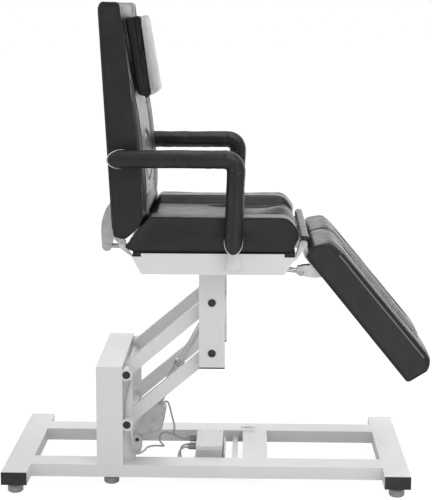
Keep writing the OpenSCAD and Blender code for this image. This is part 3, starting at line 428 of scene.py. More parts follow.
def rounded(corners):
    """A closed outline from corners (x, z, blend), each rounded over its blend length."""
    turns = 8
    out = []
    for i, (x, z, blend) in enumerate(corners):
        here = Vector((x, z))
        back = Vector(corners[i - 1][:2]) - here
        ahead = Vector(corners[(i + 1) % len(corners)][:2]) - here
        first = here + back.normalized() * blend
        last = here + ahead.normalized() * blend
        for s in range(turns + 1):
            t = s / turns
            out.append((1 - t) ** 2 * first + 2 * t * (1 - t) * here + t * t * last)
    return out


def evenly(points, spacing):
    """The same closed outline with its points an even distance apart."""
    ring = points + [points[0]]
    spans = [(ring[i + 1] - ring[i]).length for i in range(len(points))]
    count = round(sum(spans) / spacing)
    step = sum(spans) / count
    out, i, start = [], 0, 0.0
    for k in range(count):
        while start + spans[i] < k * step and i < len(spans) - 1:
            start += spans[i]
            i += 1
        out.append(ring[i].lerp(ring[i + 1], (k * step - start) / max(spans[i], 1e-6)))
    return out


def drawn_in(points, distance):
    """A counter-clockwise outline moved towards its inside."""
    out = []
    for i, p in enumerate(points):
        run = points[(i + 1) % len(points)] - points[i - 1]
        out.append(p + distance * Vector((-run.y, run.x)).normalized())
    return out


def bezel(half, edge, spacing):
    """Stations across a cushion: (place, how far drawn in, share of the outline about its middle)."""
    turns, caps = 5, 6
    rim = [(half - edge * (1 - math.sin(a)), edge * (1 - math.cos(a)), 1.0)
           for a in [math.pi / 2 * (1 - i / turns) for i in range(turns)]]
    cap = [(half, edge, 0.985)] + [(half, edge, 1 - (i + 1) / (caps + 0.4)) for i in range(caps)]
    flat = 2 * (half - edge)
    count = round(flat / spacing)
    middle = [(-flat / 2 + flat * i / count, 0.0, 1.0) for i in range(count + 1)]
    side = list(reversed(cap)) + rim
    return [(-y, d, s) for y, d, s in side] + middle + [(y, d, s) for y, d, s in reversed(side)]


class Pad:
    """A lofted cushion: its grid of vertices, its piece, and where its stations lie."""

    def __init__(self, name, corners, half, edge, spacing, shape, place, shrink=1.0):
        self.outline = drawn_in(evenly(rounded(corners), spacing), shrink)
        self.middle = sum(self.outline, Vector((0, 0))) / len(self.outline)
        self.stations = bezel(half - shrink, edge, spacing)
        self.place = place
        self.around = len(self.outline)
        verts = []
        for y, depth, share in self.stations:
            ring = drawn_in(self.outline, depth) if depth else self.outline
            for p in ring:
                q = self.middle.lerp(p, share)
                verts.append(place @ (shape(Vector((q.x, y, q.y))) * MM))
        faces = ring_faces(len(self.stations), self.around)
        self.piece = add_piece(name, verts, faces, LEATHER, None)

    def row(self, y):
        """The station nearest to a place across the chair, among the rim and the middle."""
        return min((j for j, s in enumerate(self.stations) if s[2] == 1.0),
                   key=lambda j: abs(self.stations[j][0] - y))

    def rim_rows(self):
        """The two rows where the side panels meet the top and bottom."""
        rim = [j for j, s in enumerate(self.stations) if s[2] == 1.0 and s[1] > 0]
        return rim[1], rim[len(rim) - 2]

    def line(self, row):
        """The points of a row on the finished piece."""
        verts = self.piece.data.vertices
        return [verts[row * self.around + i].co.copy() for i in range(self.around)]

    def panels(self):
        """Vertices of both side panels, inside their rims."""
        return [j * self.around + i for j, s in enumerate(self.stations) if s[2] < 1.0
                for i in range(self.around)]

    def seams(self):
        """Vertices of the two rim rows, which are sewn and stay put."""
        return [row * self.around + i for row in self.rim_rows() for i in range(self.around)]

    def part(self, points, test):
        """Those points of a ring whose place on the outline passes test(x, z)."""
        return [p for p, q in zip(points, self.outline) if test(q.x, q.y)]

    def index(self, test):
        """Vertices whose outline point and station pass test(x, y, z)."""
        return [j * self.around + i for j, s in enumerate(self.stations)
                for i, p in enumerate(self.outline) if test(p.x, s[0], p.y)]


def settle(piece, body, softness, *nodes):
    """Lets a soft piece ride with its body, in place of its solids."""
    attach(piece, body)
    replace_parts(piece, *nodes)


def calmed(steps, edges, rounds):
    """Movements with each one eased towards its neighbours', so that no fine crumple is left."""
    count = 1 + np.bincount(edges.ravel(), minlength=len(steps))[:, None]
    for _ in range(rounds):
        total = steps.copy()
        np.add.at(total, edges[:, 0], steps[edges[:, 1]])
        np.add.at(total, edges[:, 1], steps[edges[:, 0]])
        steps = total / count
    return steps


def inflate(piece, pinned, cap, pressure, slack, frames=20, rounds=8):
    """Swells a closed leather skin over its foam with a cloth simulation, and keeps the result.

    Pinned vertices stay put, no other one moves further than cap, in metres.
    """
    scene = bpy.context.scene
    seams = piece.vertex_groups.new(name="seams")
    seams.add(pinned, 1.0, "REPLACE")
    cloth = piece.modifiers.new("cloth", "CLOTH")
    for key, value in (("quality", 4), ("mass", 0.3), ("tension_stiffness", 12),
                       ("compression_stiffness", 12), ("shear_stiffness", 4), ("bending_stiffness", 0.4), ("use_pressure", True),
                       ("uniform_pressure_force", pressure), ("shrink_min", -slack),
                       ("vertex_group_mass", "seams")):
        setattr(cloth.settings, key, value)
    cloth.settings.effector_weights.gravity = 0
    cloth.point_cache.frame_start = 1
    cloth.point_cache.frame_end = frames
    for number in range(1, frames + 1):
        scene.frame_set(number)
    swollen = piece.evaluated_get(bpy.context.evaluated_depsgraph_get())
    moved = np.array([v.co for v in swollen.data.vertices])
    piece.modifiers.remove(cloth)
    still = np.array([v.co for v in piece.data.vertices])
    steps = calmed(moved - still, np.array([e.vertices[:] for e in piece.data.edges]), rounds)
    lengths = np.linalg.norm(steps, axis=1, keepdims=True)
    steps *= np.minimum(1, cap / np.maximum(lengths, 1e-9))
    piece.data.vertices.foreach_set("co", (still + steps).ravel())
    piece.vertex_groups.remove(seams)
    piece.data.update()
    scene.frame_set(1)


def surface_of(piece):
    mesh = piece.data
    return BVHTree.FromPolygons([v.co for v in mesh.vertices], [p.vertices[:] for p in mesh.polygons])


def draped(surface, points, direction, lift):
    """Points dropped onto a surface along a direction."""
    direction = Vector(direction).normalized()
    out = []
    for p in points:
        hit = surface.ray_cast(p - direction * 0.3, direction)[0]
        if hit is not None:
            out.append(hit - direction * lift)
    return out


def thinned(path, spacing):
    """Points a given distance apart along a path."""
    out = [path[0].copy()]
    left = spacing
    for a, b in zip(path, path[1:]):
        run = (b - a).length
        done = 0.0
        while run - done >= left:
            done += left
            out.append(a.lerp(b, done / run))
            left = spacing
        left -= run - done
    return out


PIPING_R = 0.0021
STITCH = 0.0052
STITCH_EVERY = 0.008
STITCH_R = 0.0005
STITCH_LIFT = 0.0004
WELT_LIFT = -0.0004


def opened(points):
    """The same ring of points, begun behind its widest gap."""
    gap = max(range(len(points)), key=lambda i: (points[i] - points[i - 1]).length)
    return points[gap:] + points[:gap]


def stitches(name, path, body):
    """A row of thread stitches along a path, as one piece of slim spindles."""
    sides = 5
    spots = thinned(path, STITCH_EVERY)
    verts, faces = [], []
    for a, b in zip(spots, spots[1:]):
        along = (b - a).normalized()
        up = along.orthogonal().normalized()
        side = along.cross(up)
        faces += ring_faces(3, sides, len(verts))
        for end, thick in ((0.0, STITCH_R / 2), (0.5, STITCH_R), (1.0, STITCH_R / 2)):
            for turn in around(sides):
                verts.append(a + along * STITCH * end + thick * (math.cos(turn) * up + math.sin(turn) * side))
    return add_piece(name, verts, faces, THREAD, body)


def sewn(name, surface, points, inward, body):
    """A row of stitches along points that are dropped onto a surface."""
    stitches(name, draped(surface, points, inward, STITCH_LIFT), body)


def groove(distance, width, depth):
    """Depth of a sewn groove at a distance from its line."""
    return depth * max(0.0, 1 - (distance / width) ** 2) ** 2


def pinch(distance, along, period, height, reach):
    """Small gathers beside a seam, which fade away from it."""
    if distance > reach:
        return 0.0
    wave = noise.noise(Vector((along / period, 0.37 * along / period, 4.1)))
    return height * wave * (1 - distance / reach)


def sloped(y, half, run, depth):
    """How far a cushion's face leans back towards its edge, on a gentle curve."""
    return depth * max(0.0, min(1.0, (abs(y) - half + run) / run)) ** 1.6


def shoulder(y, half, run, depth):
    """How far a cushion's face falls away beside its edge seam."""
    t = (abs(y) - half + run) / run
    return depth * (1 - math.sqrt(1 - t * t)) if 0 < t < 1 else (depth if t >= 1 else 0.0)


# Seat cushion

SEAT_REAR = 388.092
SEAT_LOW = 759.537
SEAT_LEN = 530.0
SEAT_T = 114.0
SEAT_HALF = 280.0
BOLSTER = 92.0
SEAT_SEAM_Y = 184.0
THIGH_Y = 112.0


def thigh(x):
    """Half width of the trough under a thigh, at a place along the seat."""
    t = (x / SEAT_LEN - 0.46) / 0.56
    return 46 * math.sin(math.pi * t) ** 0.8 if 0 < t < 1 else 0.0


def seat_shape(v):
    x, y, z = v
    top = smooth((z / SEAT_T - 0.35) / 0.55)
    side = smooth((SEAT_HALF - abs(y) - BOLSTER * 0.8) / (BOLSTER * 0.34))
    ridge = smooth((x / SEAT_LEN - 0.72) / 0.2) * (1 - smooth(abs(y) / 90))
    drop = 22 * side * top * (1 - 0.8 * ridge)
    wide = thigh(x)
    off = abs(abs(y) - THIGH_Y)
    if wide > 4:
        drop += top * 15 * (1 - smooth(off / wide))
        drop += top * groove(abs(off - wide), 9, 5)
    drop += top * groove(abs(abs(y) - SEAT_SEAM_Y), 8, 6)
    drop += top * pinch(abs(abs(y) - SEAT_SEAM_Y), x + 40 * (y > 0), 22, 1.2, 26)
    drop += shoulder(y, SEAT_HALF, 12, 4) * top
    return Vector((x, y, z - drop))


def add_seat():
    place = Matrix.Translation(at(SEAT_REAR, 0, SEAT_LOW))
    corners = [(23.9, 0, 12), (506, 0, 12), (533, 58, 26), (497, 114, 34), (76, 115, 6), (33, 68, 30),
               (-3, 14.8, 9)]
    pad = Pad("seat_leather", corners, SEAT_HALF, 6, 7.0, seat_shape, place)
    pinned = pad.index(lambda x, y, z: z < 4) + pad.seams()
    pinned += pad.index(lambda x, y, z: z > 90 and abs(abs(y) - SEAT_SEAM_Y) < 4)
    inflate(pad.piece, pinned, 0.006, 4.0, 0.008)
    settle(pad.piece, "carriage", 0.85, "seat_cushion")
    for side, row in zip(("right", "left"), pad.rim_rows()):
        tube(f"seat_piping_{side}", pad.line(row), PIPING_R, PIPING, "carriage", closed=True)
    surface = surface_of(pad.piece)

    def sew(name, y_of, places):
        sewn(name, surface, [at(SEAT_REAR + x, y_of(x), 880) for x in places], (0, 0, -1), "carriage")

    for word, side in reversed(SIDES):
        for shift in (-5, 5):
            sew(f"seat_bolster_stitch_{word}_{shift + 5}", lambda x: side * (SEAT_SEAM_Y + shift),
                range(84, 520, 4))
        for edge in (-1, 1):
            sew(f"seat_thigh_stitch_{word}_{edge + 1}", lambda x: side * (THIGH_Y + edge * (thigh(x) + 5)),
                [x for x in range(252, 520, 4) if thigh(x) > 4])


# Back cushion, drawn upright from the lower front edge of its board

BACK_FOOT = (374.092, 805.537)
BACK_LEAN = math.radians(3.05)
BACK_H = 700.0
BACK_SEAM_Y = 186.0
OVAL = (214.5, 75.0, 128.0)


def lean(foot, angle, y=0.0):
    """The place of what is drawn upright and then leans back about its foot."""
    return Matrix.Translation(at(foot[0], y, foot[1])) @ Matrix.Rotation(-angle, 4, "Y")


def back_shape(v):
    x, y, z = v
    side = smooth((SEAT_HALF - abs(y) - 18) / 74)
    front = smooth((x / 86 - 0.3) / 0.4)
    ends = smooth((z / BACK_H - 0.04) / 0.1) * smooth((0.99 - z / BACK_H) / 0.14)
    drop = 17 * side * front * ends
    if x > 20:
        drop += ends * groove(abs(abs(y) - BACK_SEAM_Y), 8, 6)
        ring = math.hypot((z - OVAL[0]) / OVAL[1], y / OVAL[2])
        drop += ends * groove(abs(ring - 1) * OVAL[1], 9, 5)
        drop += ends * pinch(abs(abs(y) - BACK_SEAM_Y), z + 60 * (y > 0), 24, 1.4, 26)
        for seam in (118.0, 372.0):
            drop += side * groove(abs(z - seam), 7, 4) * (ring > 1.02)
    drop += sloped(y, SEAT_HALF, 70, 26) * front * smooth((620 - z) / 260) * smooth((z + 20) / 110)
    return Vector((x - drop, y, z))


def add_back():
    place = lean(BACK_FOOT, BACK_LEAN)
    corners = [(-20, 0, 8), (16.5, -9.8, 9), (66, 20, 26), (97, 58.1, 10), (105.5, 140, 49), (95, 378, 84),
               (52, 617, 42), (47, 695, 16), (-10, 699, 7), (-20, 688, 7.5)]
    pad = Pad("back_leather", corners, SEAT_HALF, 6, 7.0, back_shape, place)
    pinned = pad.index(lambda x, y, z: x < 0) + pad.seams()
    pinned += pad.index(lambda x, y, z: x > 30 and abs(abs(y) - BACK_SEAM_Y) < 4)
    inflate(pad.piece, pinned + pad.panels(), 0.006, 4.0, 0.008)
    settle(pad.piece, "backrest", 0.85, "back_cushion", "back_board")
    for side, row in zip(("right", "left"), pad.rim_rows()):
        tube(f"back_piping_{side}", pad.line(row), PIPING_R, PIPING, "backrest", closed=True)
    surface = surface_of(pad.piece)
    rearward = place.to_3x3() @ Vector((-1, 0, 0))

    def front(z, y):
        return on(place, 110, y, z)

    for word, side in reversed(SIDES):
        for shift in (-5, 5):
            sewn(f"back_bolster_stitch_{word}_{shift + 5}", surface,
                 [front(z, side * (BACK_SEAM_Y + shift)) for z in range(30, 690, 4)], rearward, "backrest")
    for k, grow in enumerate((-5, 5)):
        oval = [front(OVAL[0] + (OVAL[1] + grow) * math.sin(a), (OVAL[2] + grow) * math.cos(a))
                for a in [i / 40 * math.pi for i in range(81)]]
        sewn(f"back_oval_stitch_{k}", surface, oval, rearward, "backrest")
    welt = draped(surface, oval, rearward, STITCH_LIFT)[:-1]
    tube("back_oval_welt", welt, 0.0014, PIPING, "backrest", 6, True)
    add_back_panel(place)
    return pad


def add_back_panel(place):
    """The plain rear panel, held by a strip of welt round its edge and covered screws."""
    low, high, half, rear = 16.0, 684.0, 264.0, -20.3
    corner = 22.0
    ring = []
    for cz, cy, start in ((low + corner, half - corner, -90), (high - corner, half - corner, 0),
                          (high - corner, -half + corner, 90), (low + corner, -half + corner, 180)):
        for s in range(7):
            a = math.radians(start + s * 15)
            ring.append((cz + corner * math.sin(a), cy + corner * math.cos(a)))
    path = [on(place, rear, y, z) for z, y in ring]
    dense = []
    for a, b in zip(path, path[1:] + path[:1]):
        dense += [a.lerp(b, t / 6) for t in range(6)]
    tube("back_panel_welt", dense, 0.0024, PIPING, "backrest", closed=True)
    away = place.to_3x3() @ Vector((-1, 0, 0))
    cap = [(6.5, 0), (6.5, 1.2), (5.4, 2.4), (2.5, 3.0)]
    spots = [(y, z) for z in (60, 350, 640) for y in (-225, 0, 225) if (y, z) != (0, 60)]
    for number, (y, z) in enumerate(spots, 1):
        spot = on(place, rear + 0.6, y, z)
        revolve(f"back_panel_cap_{number}", cap, spot, away, BLACK_PLASTIC, "backrest", 20)


# Head pillow

PILLOW_SEAM_X = 19.0


def pillow_shape(v):
    x, y, z = v
    waist = groove(abs(x - PILLOW_SEAM_X), 7, 1.6)
    away = Vector((0, y, z - 115))
    pull = waist / max(away.length, 1)
    fall = (23 - 12 * z / 231) * (abs(y) / 180) ** 2.4 * smooth((x - 14) / 30)
    return Vector((x - fall, y - away.y * pull, z - away.z * pull))


def add_pillow():
    place = lean((HINGE[0] + 50.5, HINGE[1] + 443), math.radians(8.6))
    corners = [(-6, -2, 9), (36, -21, 13.5), (60.5, -7, 14.5), (58.1, 138.6, 58), (54.2, 233, 18),
               (-9, 231, 9)]
    pad = Pad("pillow_leather", corners, 180, 6, 6.0, pillow_shape, place)
    pad.piece.data.materials[0] = PILLOW_LEATHER
    pinned = pad.index(lambda x, y, z: x < -2 or abs(x - PILLOW_SEAM_X) < 3.5) + pad.seams()
    inflate(pad.piece, pinned, 0.005, 4.0, 0.012)
    for side, row in zip(("right", "left"), pad.rim_rows()):
        line = opened(pad.part(pad.line(row), lambda x, z: x > 22))
        tube(f"pillow_piping_{side}", line, 0.0019, PIPING, "pillow")
    settle(pad.piece, "pillow", 0.9, "head_pillow")


# Leg rests, drawn level from their hinge

LEG_DROP = math.radians(51.4)
LEG_LEN = 532.0
LEG_T = 92.0
LEG_W = 275.0
LEG_SEAM_INSET = 34.0


def calf(u):
    """Half width of the trough under a calf."""
    t = (u / LEG_LEN - 0.14) / 0.76
    return 62 * math.sin(math.pi * t) ** 0.7 if 0 < t < 1 else 0.0


def leg_shape(v):
    u, y, w = v
    top = smooth((w / LEG_T - 0.4) / 0.5)
    drop = 3 * (2 * y / LEG_W) ** 2
    calm = 1 - 0.8 * smooth((u - 300) / 150)
    wide = calf(u)
    if wide > 4:
        drop += 11 * (1 - smooth(abs(y) / wide)) + groove(abs(abs(y) - wide), 9, 5)
        drop += calm * pinch(abs(abs(y) - wide), u, 40, 0.7, 22)
    edge = LEG_W / 2 - LEG_SEAM_INSET - abs(y)
    drop += groove(abs(edge), 7, 3.5) + calm * pinch(abs(edge), u + 30, 40, 0.7, 20)
    crease = 2.4 * noise.noise(Vector((u / 60, y / 30, 2.0))) * (1 - smooth((u - 60) / 120))
    gather = 1.1 * math.sin(y / 3.1 + 2 * math.sin(y / 17)) * (1 - smooth((u - 34) / 40))
    drop += shoulder(y, LEG_W / 2, LEG_SEAM_INSET, 14)
    return Vector((u, y, w - top * (drop + crease + gather)))


def add_leg(word, side):
    body = f"{word}_leg"
    place = lean(LEG_HINGE, -LEG_DROP, side * (5 + LEG_W / 2)) @ Matrix.Translation(Vector((0, 0, -4 * MM)))
    corners = [(34, -14.4, 7), (531, -10, 12), (539.5, 72.5, 15.3), (517, 96, 17), (80, 87, 26.5),
               (40, 76, 14.8), (19, 26, 10)]
    pad = Pad(f"{body}_leather", corners, LEG_W / 2, 5, 6.5, leg_shape, place, 0.6)
    settle(pad.piece, body, 0.85, f"{body}_cushion", f"{body}_board")
    for end, row in zip(("a", "b"), pad.rim_rows()):
        ring = pad.line(row)
        tube(f"{body}_piping_{end}", ring, PIPING_R, PIPING, body, closed=True)
        line = pad.part(ring, lambda x, z: z > 80 and 85 < x < 500)
        # The top edge welt is drawn in the lighter leather: its colour is painted highlight
        tube(f"{body}_high_welt_{end}", line, 0.0026, WELT_PAINTED_HIGHLIGHT, body)
    for edge in (-1, 1):
        row = pad.row(edge * (LEG_W / 2 - LEG_SEAM_INSET))
        line = pad.part(pad.line(row), lambda x, z: z > 80 and 70 < x < 520)
        # The welts beside the seams are drawn in the lighter leather: their colour is painted highlight
        tube(f"{body}_welt_{edge + 1}", line, 0.0024, WELT_PAINTED_HIGHLIGHT, body)
    surface = surface_of(pad.piece)
    inward = place.to_3x3() @ Vector((0, 0, -1))

    def sew(name, spots):
        sewn(f"{word}_{name}", surface, [on(place, u, y, 130) for u, y in spots], inward, body)

    for edge in (-1, 1):
        sew(f"calf_stitch_{edge + 1}", [(u, edge * (calf(u) + 5)) for u in range(100, 450, 4) if calf(u) > 4])
        beside = edge * (LEG_W / 2 - LEG_SEAM_INSET - 4)
        sew(f"edge_stitch_{edge + 1}", [(u, beside) for u in range(50, 480, 4)])
    return pad


# Knee flap

def add_knee_flap():
    """A leather skin in the form of its solid, slightly swollen and wrinkled."""
    mesh = frame["nodes"]["knee_flap"].data.copy()
    mesh.materials.clear()
    piece = dressed("knee_flap_leather", mesh, LEATHER)
    remesh = piece.modifiers.new("remesh", "REMESH")
    remesh.mode = "VOXEL"
    remesh.voxel_size = 0.003
    remesh.use_smooth_shade = True
    relax = piece.modifiers.new("relax", "SMOOTH")
    relax.iterations = 3
    relax.factor = 0.5
    done = piece.evaluated_get(bpy.context.evaluated_depsgraph_get())
    piece.data = bpy.data.meshes.new_from_object(done)
    piece.modifiers.clear()
    shade(piece.data)
    for vert in piece.data.vertices:
        p = vert.co
        wave = noise.noise(p * 45) + 0.5 * noise.noise(p * 110)
        vert.co = p + vert.normal * wave * 0.0004
    inflate(piece, [], 0.0008, 1.0, 0.01, 8, 1)
    settle(piece, "carriage", 0.8, "knee_flap")


# Armrests. Their rolls are round outside and flat where they wrap the bar, in millimetres.

BAR_FACE = 24.7
BAR_HALF = 13.6
OBLIQUE = 75.0
ROLL_SIDES = 40
KNUCKLE_R = 0.0245


def section(turn):
    """Distance from a roll's axis to its skin."""
    c, s = math.cos(turn), math.sin(turn)
    if c >= 0:
        return PADDED_R
    return max(1 / math.hypot(c / BAR_FACE, s / PADDED_R), min(BAR_FACE / -c, BAR_HALF / max(abs(s), 1e-6)))


def cut(turn, tail):
    """Where a roll's oblique end lies along it, on the line of its skin at a turn."""
    return -tail + OBLIQUE * (PADDED_R - section(turn) * math.cos(turn)) / (2 * PADDED_R)


def on_roll(pivot, angle, side, along, turn, radius):
    x = pivot[0] + along * math.cos(angle) - radius * math.sin(turn) * math.sin(angle)
    z = pivot[1] + along * math.sin(angle) + radius * math.sin(turn) * math.cos(angle)
    return at(x, side * (ROLL_Y + radius * math.cos(turn)), z)


def add_roll(name, pivot, angle, side, tail, end, body, node):
    """A padded roll with an oblique tail, wrinkled by a short cloth simulation."""
    rings = round((end + tail) / 5.5)
    verts = [on_roll(pivot, angle, side, cut(t, tail) + (end - cut(t, tail)) * k / rings, t, section(t))
             for k in range(rings + 1) for t in around(ROLL_SIDES)]
    piece = add_piece(name, verts, ring_faces(rings + 1, ROLL_SIDES), LEATHER, None)
    for vert in piece.data.vertices:
        vert.co = vert.co + vert.normal * 0.0003 * noise.noise(vert.co * 60)
    ends = [row * ROLL_SIDES + i for row in (0, rings) for i in range(ROLL_SIDES)]
    inflate(piece, ends, 0.0009, 1.5, 0.01, 10, 1)
    settle(piece, body, 0.8, node)
    rim = [on_roll(pivot, angle, side, cut(t, tail), t, section(t) - 0.5) for t in around(64)]
    tube(f"{name}_rim", rim, 0.0018, TRIM, body, closed=True)
    under = math.radians(-108)
    seam = [on_roll(pivot, angle, side, along, under, PADDED_R + 0.2)
            for along in range(0, round(end) - 8, 5)]
    stitches(f"{name}_seam", seam, body)


def add_elbow(word, side, angle):
    """The leather that turns the corner, mitred where the arm meets its post, with a knuckle inside."""
    corner = Vector((REST_CORNER[0], 0, REST_CORNER[1]))
    level, fall = Vector((-1, 0, 0)), Vector((-math.cos(angle), 0, -math.sin(angle)))
    reach, rings = 43.0, 30
    verts = []
    for k in range(rings + 1):
        t = k / rings
        spot = corner + reach * ((1 - t) ** 2 * level + t * t * fall)
        along = (-(1 - t) * level + t * fall).normalized()
        outward = Vector((-along.z, 0, along.x))
        swell = -0.5 + 1.3 * smooth(min(t, 1 - t) / 0.12)
        for turn in around(ROLL_SIDES):
            radius = section(turn) + swell
            inside = max(0.0, -math.sin(turn)) ** 0.5 * smooth(min(t, 1 - t) / 0.25)
            radius += inside * (1.2 * math.sin(14 * math.pi * t + 1.2 * math.cos(2 * turn)) - 0.8)
            p = spot + outward * radius * math.sin(turn)
            verts.append(at(p.x, side * (ROLL_Y + radius * math.cos(turn)), p.z))
    for part, first, last in (("arm", 0, rings // 2), ("post", rings // 2, rings)):
        ring = verts[first * ROLL_SIDES:(last + 1) * ROLL_SIDES]
        faces = ring_faces(last - first + 1, ROLL_SIDES)
        add_piece(f"{word}_{part}_elbow", ring, faces, LEATHER, f"{word}_{part}")
    open_ends = ring_faces(rings + 1, ROLL_SIDES)[:-2]
    add_knuckle(word, at(corner.x, side * ROLL_Y, corner.z), BVHTree.FromPolygons(verts, open_ends))


def add_knuckle(word, middle, elbow):
    """The ball inside an elbow, which closes the gap that opens when the post swings."""
    work = bmesh.new()
    bmesh.ops.create_uvsphere(work, u_segments=32, v_segments=20, radius=1)
    for vert in work.verts:
        away = vert.co.normalized()
        hit, _, _, distance = elbow.ray_cast(middle, away)
        room = distance - 0.0006 if hit is not None else KNUCKLE_R
        vert.co = middle + away * min(KNUCKLE_R, max(0.004, room))
    shade(built(f"{word}_knuckle", work, LEATHER, f"{word}_post").data)


def add_lug(name, pivot, angle, side, inner, body):
    """The end of the flat bar that shows at a roll's oblique tail, round its pivot."""
    outline = [(60, -12), (60, 12)] + [(12 * math.cos(a), 12 * math.sin(a))
                                       for a in [math.radians(90 + 10 * i) for i in range(19)]]
    verts = [at(pivot[0] + u * math.cos(angle) - v * math.sin(angle), side * y,
                pivot[1] + u * math.sin(angle) + v * math.cos(angle))
             for y in (inner, inner + 5) for u, v in outline]
    return add_piece(name, verts, flipped(ring_faces(2, len(outline))), ZINC, body, False)


def add_armrests():
    rise, ahead = REST_CORNER[1] - SEAT_PIVOT[1], REST_CORNER[0] - SEAT_PIVOT[0]
    angle = math.atan2(rise, ahead)
    parts = (("arm", REST_PIVOT, 0, 43, REST_CORNER[0] - REST_PIVOT[0] - 37, 286),
             ("post", SEAT_PIVOT, angle, 22, math.hypot(rise, ahead) - 37, 291.5))
    for word, side in SIDES:
        for part, pivot, turn, tail, end, inner in parts:
            body = f"{word}_{part}"
            add_roll(f"{body}_leather", pivot, turn, side, tail, end, body, f"{body}_roll")
            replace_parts(add_lug(f"{body}_lug", pivot, turn, side, inner, body), f"{body}_bar")
        add_elbow(word, side, angle)


add_seat()
back_pad = add_back()
add_pillow()
leg_pads = {word: add_leg(word, side) for word, side in SIDES}
add_armrests()
add_knee_flap()


# Seams on the side panels

def side_seam(name, pad, side, inset, test, body, radius):
    """A welt and a row of stitches on a side panel, a set distance inside its outline."""
    ring = opened(pad.part(drawn_in(pad.outline, inset), test))
    reach = 200 + abs(pad.stations[0][0])
    away = pad.place.to_3x3() @ Vector((0, side, 0))
    outside = [on(pad.place, p.x, side * reach, p.y) for p in ring]
    line = draped(surface_of(pad.piece), outside, -away, WELT_LIFT)
    tube(name, line, radius, PIPING, body, 6)
    stitches(f"{name}_thread", [p + away * 0.0008 for p in line], body)


# Trim of the drives, the frame and the control box

COLUMN_X = 649.292
RAIL_Y = 150.0
RAIL_TOP = 78.0

DRIVE_FOOT = (400.0, 88.0)
DRIVE_TILT = math.radians(61.464)


def on_drive(x, y, z):
    """A place along the lift drive from its foot pivot: along, across and square to it."""
    c, s = math.cos(DRIVE_TILT), math.sin(DRIVE_TILT)
    return at(DRIVE_FOOT[0] + x * c - z * s, y, DRIVE_FOOT[1] + x * s + z * c)


def block(name, size, centre, turn, material, body, bevel):
    """A box with softened edges, turned about the chair's width."""
    work = bmesh.new()
    bmesh.ops.create_cube(work, size=1)
    bmesh.ops.scale(work, vec=Vector(size) * MM, verts=work.verts)
    bmesh.ops.bevel(work, geom=work.edges[:], offset=bevel * MM, segments=2, affect="EDGES")
    matrix = Matrix.Translation(centre) @ Matrix.Rotation(-turn, 4, "Y")
    bmesh.ops.transform(work, matrix=matrix, verts=work.verts)
    return built(name, work, material, body)


def add_drive_trim():
    boss = [(6.2, -0.5), (6.2, 0.9), (5.2, 1.4), (3.4, 1.4), (3.2, 0.2)]
    screw = [(2.8, 0.1), (2.8, 0.8), (2.0, 1.1)]
    for word, side in reversed(SIDES):
        away = (0, side, 0)
        for number, (x, z) in enumerate(((52, -25), (88, -17), (120, -30))):
            spot = on_drive(x, side * 31, z)
            revolve(f"housing_boss_{word}_{number}", boss, spot, away, GREY_PLASTIC, "lift_drive", 24)
            revolve(f"housing_screw_{word}_{number}", screw, spot, away, ZINC, "lift_drive", 16)
        for number in range(5):
            spot = on_drive(42 + 7 * number, side * 31.2, 14 - number)
            block(f"housing_rib_{word}_{number}", (2.2, 0.9, 16 + 2 * number), spot, DRIVE_TILT, GREY_PLASTIC,
                  "lift_drive", 0.25)
    path = [on_drive(x, 0, z * 1.005) for x, z in (
        (26, -14), (40, -30), (56, -42), (74, -50), (92, -48), (110, -42), (128, -32), (141, -20), (143, -10),
        (136, 3))]
    path = [p for a, b in zip(path, path[1:]) for p in (a, a.lerp(b, 0.5))] + [path[-1]]
    tube("housing_seam", path, 0.0016, BLACK_PLASTIC, "lift_drive")
    for spot in (284, 291):
        band = [on_drive(spot, 16.4 * math.cos(a), 16.4 * math.sin(a)) for a in around(36)]
        tube(f"drive_tube_band_{spot}", band, 0.0009, BLACK_PLASTIC, "lift_drive", 6, True)


def add_box_trim():
    for number, (x, y) in enumerate(((604, -74), (604, 74), (672, -74), (672, 74))):
        revolve(f"lid_screw_{number}", [(4.2, -0.3), (4.2, 0.5), (3.0, 0.9)], at(x, y, 87.9), (0, 0, 1),
                ZINC, "base", 20)
    for number, y in enumerate((-36, -8, 44, 66)):
        for ring, x in enumerate((575.5, 580.5, 585.5)):
            revolve(f"plug_ring_{number}_{ring}", [(6.6, -0.9), (7.5, -0.6), (7.5, 0.6), (6.6, 0.9)],
                    at(x, y, PLUG_Z), (1, 0, 0), PLUG_PLASTIC, "base", 20)
        revolve(f"plug_boot_{number}", [(5.2, 0.2), (4.2, 4), (3.4, 9)], at(PLUG_X, y, PLUG_Z), (-1, 0, 0),
                CABLE, "base", 16)


def add_staples():
    """Staples that hold the leather round the leg boards' upper ends."""
    for word, side in SIDES:
        place = lean(LEG_HINGE, -LEG_DROP)
        for number in range(9):
            centre = on(place, 50 if number % 2 else 46, side * (34 + number * 26), -18.9)
            block(f"{word}_leg_staple_{number}", (1.2, 10, 1.0), centre, -LEG_DROP, ZINC, f"{word}_leg", 0.3)


def oblong(name, centre, length, width, low, high, material):
    """A flat plug with round ends, lying along the chair."""
    radius = width / 2
    ring = [(end * (length / 2 - radius) + radius * math.sin(a), radius * math.cos(a))
            for end, start in ((1, 0), (-1, 180)) for a in [math.radians(start + 15 * i) for i in range(13)]]
    layers = ((0, low), (0, high - 0.4), (0.5, high))
    verts = [at(centre[0] + x * (1 - d / radius), centre[1] + y * (1 - d / radius), z)
             for d, z in layers for x, y in ring]
    faces = flipped(ring_faces(len(layers), len(ring)))
    return add_piece(name, verts, faces, material, "base", False)


